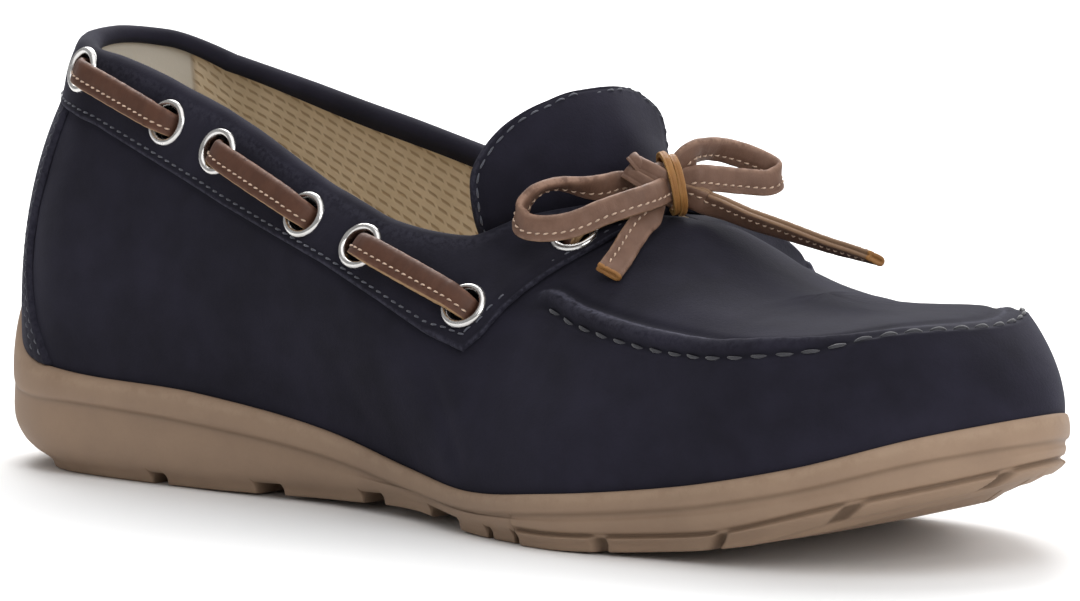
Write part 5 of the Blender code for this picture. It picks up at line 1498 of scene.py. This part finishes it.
def make_bow():
    rows = []
    for number, (node, route, far) in enumerate(BOW):
        path, across = bow_route(route)
        run = run_length(path)
        width = LACE_WIDTH - 0.9 * np.exp(-(run / 3.5) ** 2)
        if far == "object":
            width = width - 0.9 * np.exp(-((run[-1] - run) / 3.5) ** 2)
        made, stitches = lace_piece(node + "_leather", path, across, width, np.full(len(path), LACE_THICK),
                                    LIT_BOW_LACE, seed=20 + number, wrinkle=0.08)
        dress(made, "lace", node)
        for row in stitches:
            rows.append(trim(row, 2.5 if far == "object" else 1.2))
        if far == "bare":
            cut_end(node, path, across, width)
    return rows


def cut_end(node, path, across, width):
    """The raw cut end of a lace: its two layers and the fold, paler than the rest."""
    ahead, over, normal = lace_rows(path, across)
    p, a, c, n = path[-1], ahead[-1], over[-1], normal[-1]
    shape = np.array(FOLD)
    half_w, half_t = width[-1] * 0.5, LACE_THICK * 0.5
    rings = []
    for depth, grow in ((-0.35, 1.03), (0.12, 1.03), (0.22, 0.9)):
        outline = shape[:, :1] * half_w * grow * c + shape[:, 1:] * half_t * grow * n
        rings.append(p + a * depth * MM + outline * MM)
    inner = shape * np.array([0.72, 0.3])
    rings.append(p + a * 0.2 * MM + (inner[:, :1] * half_w * c + inner[:, 1:] * half_t * n) * MM)
    rings.append(p + a * 0.02 * MM + (inner[:, :1] * 0.9 * half_w * c + inner[:, 1:] * 0.6 * half_t * n) * MM)
    points = np.array(rings)
    points = np.concatenate([points, points[:, :1]], axis=1)
    faces, _, _ = quads(points.shape[0], points.shape[1], False)
    zero = np.zeros(points.shape[0] * points.shape[1])
    uv = np.zeros((len(faces), 4, 2))
    made = piece(node + "_cut", points.reshape(-1, 3), faces, (CUT_LEATHER,), None, uv,
                 {"raw": zero, "rub_and_highlight": zero, "painted_shade": zero}, weld=0.001)
    close_ends(made)
    dress(made, "lace")


# ---- knot

KNOT_CENTRE = bow_point(*KNOT_MIDDLE)


def wrap(name, centre, axis, start, size, turns, width, thick, tilt, seed, finish=None):
    """A lace wrapped round the knot: turns = (first, last) angle in degrees; size = its radii across and up."""
    axis = unit(np.asarray(axis, float))
    start = unit(start - axis * np.dot(start, axis))
    side_way = np.cross(axis, start)
    angle = np.radians(np.linspace(turns[0], turns[1], 60))
    ring = np.cos(angle)[:, None] * start * size[0] + np.sin(angle)[:, None] * side_way * size[1]
    path = centre + ring * MM
    path = path + axis * (tilt * (angle - angle.mean()) / (angle[-1] - angle[0]))[:, None] * MM
    path = resample(path, 0.4)
    over = np.tile(axis, (len(path), 1))
    made, _ = lace_piece(name, path, over, np.full(len(path), width), np.full(len(path), thick),
                         finish or LIT_BOW_LACE, seed=seed, wrinkle=0.1)
    return made


def make_knot():
    """Three wraps over a small core: two slanted ones and an upright one whose raw edges show."""
    core = bmesh.new()
    bmesh.ops.create_icosphere(core, subdivisions=4, radius=MM)
    for v in core.verts:
        d = v.co.normalized()
        v.co = Vector(KNOT_CENTRE) + Vector((d.x * 3.9, d.y * 4.9, d.z * 4.2)) * MM
    mesh = bpy.data.meshes.new("knot core")
    core.to_mesh(mesh)
    core.free()
    mesh.materials.append(LIT_BOW_LACE)
    mesh.polygons.foreach_set("use_smooth", np.ones(len(mesh.polygons), bool))
    ball = bpy.data.objects.new("knot core", mesh)
    bpy.context.scene.collection.objects.link(ball)
    made = [ball]
    toward = unit(np.array([0.62, -0.75, 0.2]))
    for number, (offset, axis, size, turns, width, thick, tilt, finish) in enumerate(KNOT_WRAPS):
        centre = KNOT_CENTRE + bow_point(offset[0] + MIDDLE_U, offset[1] + MIDDLE_Y, offset[2])
        made.append(wrap(f"wrap {number}", centre, axis, toward, size, turns, width, thick, tilt, 40 + number,
                         finish))
    dress(join("lace_knot_wraps", made), "lace", "lace_knot")


# Offset of the wrap's middle, its axis, radii, first and last angle, width, thickness, shift along the
# axis, finish.
KNOT_WRAPS = (
    ((1.3, 1.3, 0.0), (0.62, 0.76, 0.2), (5.5, 5.9), (-200, 130), 1.5, 1.2, 0.4, CUT_LEATHER),
    ((2.4, 2.4, -0.3), (0.62, 0.76, 0.16), (5.3, 5.6), (-190, 130), 1.5, 1.2, 0.3, CUT_LEATHER),
    ((-0.6, -0.3, 1.9), (0.30, 0.38, 0.84), (4.6, 4.9), (-110, 120), 3.2, 1.4, 0.5, LIT_BOW_LACE),
    ((-1.4, -1.4, -0.6), (0.34, 0.42, 0.80), (4.9, 5.2), (-115, 120), 3.0, 1.4, 0.3, LIT_BOW_LACE),
    ((-2.2, -2.0, 2.6), (0.55, 0.50, 0.62), (3.4, 3.6), (-130, 130), 2.4, 1.2, 0.4, LIT_BOW_LACE),
)


# ---- sole

def sole_places():
    """Track places round the sole, doubled at every lug's ends so that the lugs have upright sides."""
    stops = {0.0, PADS[0].start - 6.0, HALF}
    for lug in LUGS:
        for end in (lug.start, lug.end):
            if 0.0 < end < HALF:
                stops.update((end - 0.35, end - 0.02, end + 0.02, end + 0.35))
    stops = sorted(stops)
    places = [0.0]
    for a, b in zip(stops[:-1], stops[1:]):
        steps = max(1, int(round((b - a) / (1.25 if b < PADS[0].start - 5.0 else 0.5))))
        places += list(np.linspace(a, b, steps + 1)[1:])
    half = np.array(places)
    return np.concatenate([half, (2.0 * HALF - half[1:-1])[::-1]])


def lug_at(s):
    """1 where a lug stands at the track place, and its cross bar."""
    q = q_of(s)
    on, bar = np.zeros_like(q), np.zeros_like(q)
    for lug in LUGS:
        on = np.maximum(on, ((q > lug.start) & (q < lug.end)).astype(float))
        bar = np.maximum(bar, ((q > lug.start) & (q < lug.bar_end)).astype(float))
    return on, bar


PAD_TALL = 3.0


def pads_at(s, w, z, foot, base, floor):
    """How far the sole's side stands out on its pads and back between them, and how much painted shade darkens
    it there.
    """
    q = q_of(s)
    turn = smooth((q - toe_turn(4)) / (toe_turn(46) - toe_turn(4)))
    h = z - (floor - 0.9 * (1.0 - turn) + turn * (base - floor - 0.2))
    lean = smooth((q - side(180)) / 26.0) * smooth((HALF - q) / 9.0)
    along = q + PAD_SLANT * (1.5 - np.clip(h, -2.5, 4.0)) * lean
    on = np.zeros_like(w)
    for pad in PADS:
        past = pad.end + (20.0 if pad.end >= HALF else 0.0)
        on = np.maximum(on, smooth((along - pad.start) / 1.5 + 0.5) * smooth((past - along) / 1.5 + 0.5))
    tall = smooth(h / 0.7 + 0.5) * smooth((PAD_TALL + 0.9 * (1.0 - turn) - h) / 0.8 + 0.5)
    low = smooth((w - foot + 2.6) / 1.6) * smooth((q - PADS[0].start + 1.5) / 3.0)
    over = bump(h - PAD_TALL - 0.9 * (1.0 - turn) - 0.55, 0.4)
    out = low * (tall * (on * (PAD_OUT + GROOVE_IN) - GROOVE_IN) - 0.7 * over)
    # Painted shade in the grooves between the pads and in the groove above them.
    painted_shade = low * (0.85 * tall * (1.0 - on) + 0.7 * over * on)
    return out, painted_shade


def tray_z(s, f):
    q = np.clip(np.minimum(s, 2.0 * HALF - s), HEEL_ARC, HALF - TOE_ARC)
    a = 0.5 * (SOLE["tray"](q) + SOLE["tray"](2.0 * HALF - q)) - 0.6
    b = SOLE["tray"](s)
    mid = a + 0.42 * (b - a)
    return np.where(f < 0.55, a + (mid - a) * f / 0.55, mid + (b - mid) * (f - 0.55) / 0.45)


def under_z(u):
    spring = SPRING * np.clip((u - SPRING_START) / 75.0, 0.0, None) ** 1.7
    return LUG_DEPTH + spring + 1.6 * smooth((u - 96.0) / 16.0) * smooth((150.0 - u) / 16.0)


def sole_corners(s):
    """(w, z) corners of the sole's section at places s, from the tray's middle round to the middle below."""
    edge, wall, rim, tray, band, step, corner, base = (SOLE[c](s) for c in SoleRow._fields[1:])
    base = np.maximum(base, LUG_DEPTH)
    u, dx, _ = section(s)
    middle = np.stack([u - MIDDLE_U, spine_y(u) - MIDDLE_Y], -1)

    def against_upper(z):
        t = at_height(s, z)
        return np.linalg.norm(surface(s, t)[:, :2] / MM - middle, axis=1) - 0.25

    lip = against_upper(rim)
    top = np.minimum(edge - 0.5, lip + LIP_WIDTH)
    side_w = edge - step
    foot = side_w - corner
    under = under_z(u + dx * (edge - BAR_INSET))
    on, bar = lug_at(s)
    drop = LUG_DEPTH * on
    bar_drop = LUG_DEPTH * bar
    slope = smooth((q_of(s) - toe_turn(8)) / 50.0)
    half_up = 0.5 * (tray + rim)
    zero = 0.0 * edge
    floor = np.maximum(base - drop, 0.0)
    inner_floor = np.maximum(0.4 * base + 0.6 * under - drop, 0.0)
    rows = [
        (zero, tray_z(s, 0.0 * edge), 0), (0.55 * (edge - wall), tray_z(s, 0.55 + 0.0 * edge), 1),
        (edge - wall, tray, 1),
        (against_upper(half_up), half_up, 1), (lip, rim - 0.5, 1), (0.6 * lip + 0.4 * top, rim, 2),
        (top, rim - 0.25, 2), (edge - 0.25 * (edge - top), rim - 0.28 * band, 2),
        (edge, rim - 0.62 * band, 2), (edge - 0.15 * step, rim - band + 0.5, 2),
        (edge - 0.8 * step - 0.25, rim - band - 0.15, 2),
        (side_w - 0.15, rim - band - 1.1, 2),
        (side_w + 0.15, np.maximum(base + corner + 0.6, 0.55 * (rim - band) + 0.45 * base), 2),
        (side_w - 0.05 * corner, base + 0.72 * corner, 2), (side_w - 0.32 * corner, base + 0.3 * corner, 2),
        (foot + 0.3, base - 0.25 * drop, 2), (foot + 0.05 - 1.6 * slope, floor + 0.25 + 0.5 * slope, 2),
        (foot - 0.7 - 2.4 * slope, floor, 2), (foot - 5.0, floor, 2),
        (edge - LUG_REACH + 0.6, inner_floor, 2), (edge - LUG_REACH - 0.15, inner_floor + 0.3, 2),
        (edge - LUG_REACH - 0.3, 0.4 * base + 0.6 * under, 2),
        (edge - BAR_INSET, np.maximum(under - bar_drop, 0.0), 2),
        (zero, np.maximum(under_z(u) - bar_drop, 0.0), 0),
    ]
    w = np.stack([r[0] for r in rows], 1)
    z = np.stack([r[1] for r in rows], 1)
    return w, z, foot, base, floor


def q_of(s):
    s = s % (2.0 * HALF)
    return np.minimum(s, 2.0 * HALF - s)


def cut_corners(w, z, times=2):
    """Round a polyline's corners, keeping both ends."""
    for _ in range(times):
        def halve(a):
            quarter = 0.75 * a[:, :-1] + 0.25 * a[:, 1:]
            three = 0.25 * a[:, :-1] + 0.75 * a[:, 1:]
            mixed = np.stack([quarter, three], -1).reshape(a.shape[0], -1)
            return np.concatenate([a[:, :1], mixed[:, 1:-1], a[:, -1:]], axis=1)
        w, z = halve(w), halve(z)
    return w, z


SIDE_ROWS = (44, 68)         # rows of the rounded section down the sole's lower side


def finer_side(w, z):
    """The lower side's rows spaced evenly, so that the pads' edges come out crisp."""
    a, b = SIDE_ROWS
    steps = np.hypot(np.diff(w[:, a:b + 1]), np.diff(z[:, a:b + 1]))
    run = np.concatenate([np.zeros((len(w), 1)), np.cumsum(steps, 1)], 1)
    share = np.linspace(0.0, 1.0, 42)
    parts = []
    for v in (w, z):
        fine = np.array([np.interp(share * r[-1], r, row) for r, row in zip(run, v[:, a:b + 1])])
        parts.append(np.concatenate([v[:, :a], fine, v[:, b + 1:]], 1))
    return parts


def make_sole():
    places = sole_places()
    w, z, foot, base, floor = sole_corners(places)
    w, z = cut_corners(w, z)
    w, z = finer_side(w, z)
    s = np.repeat(places[:, None], w.shape[1], axis=1)
    out, grooves = pads_at(s, w, z, foot[:, None], base[:, None], floor[:, None])
    w = w + out
    points = place(s, w, z)
    count, rows = w.shape
    mirror = (-np.arange(count)) % count
    for row in (0, rows - 1):
        points[:, row] = 0.5 * (points[:, row] + points[mirror, row])
        for fan in (q_of(places) <= HEEL_ARC + 0.01, q_of(places) >= HALF - TOE_ARC - 0.01):
            points[fan, row] = points[fan, row].mean(axis=0)
    edge = SOLE["edge"](places)[:, None]
    rim, band = SOLE["rim"](places)[:, None], SOLE["band"](places)[:, None]
    outside = smooth((w - edge + 6.0) / 3.0)
    # Painted highlight along the upper part of the edge band.
    rub_and_highlight = 0.35 * outside * bump(z - rim + 0.25 * band, 1.0 + 0.0 * band)
    # Painted shade under the band's ledge, joined with the pads' groove shade.
    painted_shade = np.maximum(0.4 * outside * bump(z - (rim - band - 0.2), 0.5), grooves)
    faces, _, _ = quads(count, rows, True)
    made = piece("sole_rubber", points.reshape(-1, 3), faces, (RUBBER,), None, None,
                 {"rub_and_highlight": rub_and_highlight.ravel(), "painted_shade": painted_shade.ravel()}, weld=0.002)
    close_ends(made)
    return dress(made, "sole_rubber", "sole")


# ---- insole

INSOLE_LIFT, INSOLE_THICK = 0.7, 3.0


def make_insole():
    places = np.arange(300) * 2.0 * HALF / 300
    inside = (SOLE["edge"](places) - SOLE["wall"](places) - GAP - WALL - 0.9)[:, None]
    f = np.concatenate([np.linspace(0.0, 1.0, 24), [1.0, 1.0], np.linspace(1.0, 0.0, 30)])
    lift = np.concatenate([np.zeros(24), [0.9, 2.1], np.full(30, INSOLE_THICK)])
    lift[26] = INSOLE_THICK - 0.3
    s = np.repeat(places[:, None], len(f), axis=1)
    ff = np.repeat(f[None, :], len(places), axis=0)
    top = np.arange(len(f)) >= 26
    cup = 1.4 * smooth((ff - 0.72) / 0.28) * top
    z = tray_z(s, np.clip(ff, 0.0, 1.0)) + INSOLE_LIFT + lift[None, :] + cup
    sink = 0.25 * ripple(s, ff * 1.2, 31, 60.0) * top
    points = place(s, ff * inside, z + sink)
    count, rows = ff.shape
    mirror = (-np.arange(count)) % count
    for row in (0, rows - 1):
        points[:, row] = 0.5 * (points[:, row] + points[mirror, row])
        for fan in (q_of(places) <= HEEL_ARC + 0.01, q_of(places) >= HALF - TOE_ARC - 0.01):
            points[fan, row] = points[fan, row].mean(axis=0)
    faces, _, _ = quads(count, rows, True)
    u_mm, y_mm = points[..., 0].ravel() / MM, points[..., 1].ravel() / MM
    uv = np.stack([u_mm[faces], y_mm[faces]], -1)
    plain = np.repeat(smooth((70.0 - (places_u(places)))[:, None] / 2.0), rows, axis=1)
    made = piece("insole_sock", points.reshape(-1, 3), faces, (LINING,), None, uv,
                 {"plain": plain.ravel()}, weld=0.002)
    close_ends(made)
    return dress(made, "lining", "insole")


def places_u(s):
    u, dx, _ = section(s)
    return u + dx * 30.0


# ---- stage, light and camera

def point_at(thing, target):
    thing.rotation_euler = (Vector(target) - thing.location).to_track_quat("-Z", "Y").to_euler()


def area_light(name, where, target, size, power, colour=(1.0, 1.0, 1.0)):
    light = bpy.data.lights.new(name, "AREA")
    light.shape = "RECTANGLE"
    light.size, light.size_y = size
    light.energy = power
    light.color = colour
    made = bpy.data.objects.new(name, light)
    made.location = where
    point_at(made, target)
    bpy.context.scene.collection.objects.link(made)


def make_stage():
    mesh = bpy.data.meshes.new("floor")
    r = 6.0
    mesh.from_pydata([(-r, -r, 0.0), (r, -r, 0.0), (r, r, 0.0), (-r, r, 0.0)], [], [(0, 1, 2, 3)])
    pale, _, shader = start_material("pale floor", Roughness=0.6, Specular_IOR_Level=0.1)
    shader.inputs["Base Color"].default_value = (0.92, 0.92, 0.92, 1.0)
    mesh.materials.append(pale)
    floor = bpy.data.objects.new("floor", mesh)
    bpy.context.scene.collection.objects.link(floor)
    world = bpy.data.worlds.new("studio")
    bpy.context.scene.world = world
    world.use_nodes = True
    world.node_tree.nodes["Background"].inputs[0].default_value = (1.0, 1.0, 1.0, 1.0)
    world.node_tree.nodes["Background"].inputs[1].default_value = 0.4
    area_light("key behind", (-0.65, 0.6, 1.15), (0.0, 0.0, 0.03), (1.1, 1.0), 16.0)
    area_light("overhead", (0.4, -0.3, 1.3), (0.0, 0.0, 0.03), (1.5, 1.4), 8.0)
    area_light("toe side", (1.5, -0.35, 0.7), (0.05, 0.0, 0.03), (0.9, 0.8), 10.0)
    area_light("back rim", (0.3, 1.3, 0.8), (0.02, 0.0, 0.05), (1.2, 0.6), 7.0)
    area_light("backdrop", (-0.9, 1.1, 1.0), (-0.9, 1.1, 0.0), (1.6, 1.2), 14.0)
    bpy.context.scene.view_settings.view_transform = "Standard"


AZIMUTH, ELEVATION = 40.6, 6.6
DISTANCE = 1.254
AIM = (0.0057, 0.0011, 0.0419)


def make_camera():
    a, e = math.radians(AZIMUTH), math.radians(ELEVATION)
    back = Vector((math.sin(a) * math.cos(e), -math.cos(a) * math.cos(e), math.sin(e)))
    lens = bpy.data.cameras.new("camera")
    lens.sensor_width = 36.0
    lens.lens = 207.7
    made = bpy.data.objects.new("camera", lens)
    made.location = Vector(AIM) + back * DISTANCE
    made.rotation_euler = (-back).to_track_quat("-Z", "Y").to_euler()
    bpy.context.scene.collection.objects.link(made)
    bpy.context.scene.camera = made


def moccasin_stitches():
    """The seam's stitches, just under the raised lip, from one wing round the toe to the other."""
    start, end = side(SEAM_START + 4.5), 2.0 * HALF - side(SEAM_START + 4.5)
    s = np.linspace(start, end, 400)
    near = np.linalg.norm(surface(s, np.ones(400)) - surface(s, np.zeros(400)), axis=1) / MM
    far = np.linalg.norm(surface(s, np.full(400, 2.0)) - surface(s, np.ones(400)), axis=1) / MM
    up = seam_climb(q_of(s)) - STITCH_BELOW
    t = 1.0 + np.where(up < 0.0, up / near, up / far)
    wave = -np.ones(400)
    depth = seam_shape(np.full(400, -STITCH_BELOW), wave) * seam_amount(s) + 0.12
    line, normal = skin(s, t, depth), frame_at(s, t)[2]
    tilt = frame_at(s, t)[1]
    return [(line, unit(normal - 0.35 * tilt))]


def main():
    make_camera()
    make_stage()
    eyelets = eyelet_frames()
    bow_rows = make_bow()
    make_knot()
    _, bar_rows = make_bars(eyelets)
    upper = make_upper()
    punch(upper, eyelets, -1.4, 6.0)
    dress(upper, "nubuck", "upper")
    band, places, outer, _ = make_band(eyelets)
    punch(band, eyelets, -1.4, 6.0)
    dress(band, "nubuck", "collar_band")
    lower, front = band_stitches(places, outer)
    sew("band_edge_stitches", lower, 2.3, 1.5, 0.42, 0.3, GREY_THREAD, "nubuck", slant=0.15)
    sew("wing_edge_stitches", front, 2.9, 2.0, 0.42, 0.34, GREY_THREAD, "nubuck")
    counter, counter_rows = make_counter()
    dress(counter, "nubuck", "heel_counter")
    sew("counter_stitches", counter_rows, 2.4, 1.6, 0.4, 0.28, GREY_THREAD, "nubuck")
    tongue, tongue_rows = make_tongue()
    dress(tongue, "nubuck", "tongue")
    sew("tongue_stitches", tongue_rows, 3.0, 2.1, 0.42, 0.34, GREY_THREAD, "nubuck")
    make_eyelet_rings(eyelets)
    sew("lace_stitches", bar_rows + bow_rows, 1.75, 1.15, 0.4, 0.3, CREAM_THREAD, "lace", slant=0.2)
    seam_rows = moccasin_stitches()
    sew("seam_stitches", seam_rows, PUCKER, 3.5, 0.7, 0.5, SEAM_THREAD, "nubuck", slant=-0.06)
    make_sole()
    make_insole()


main()
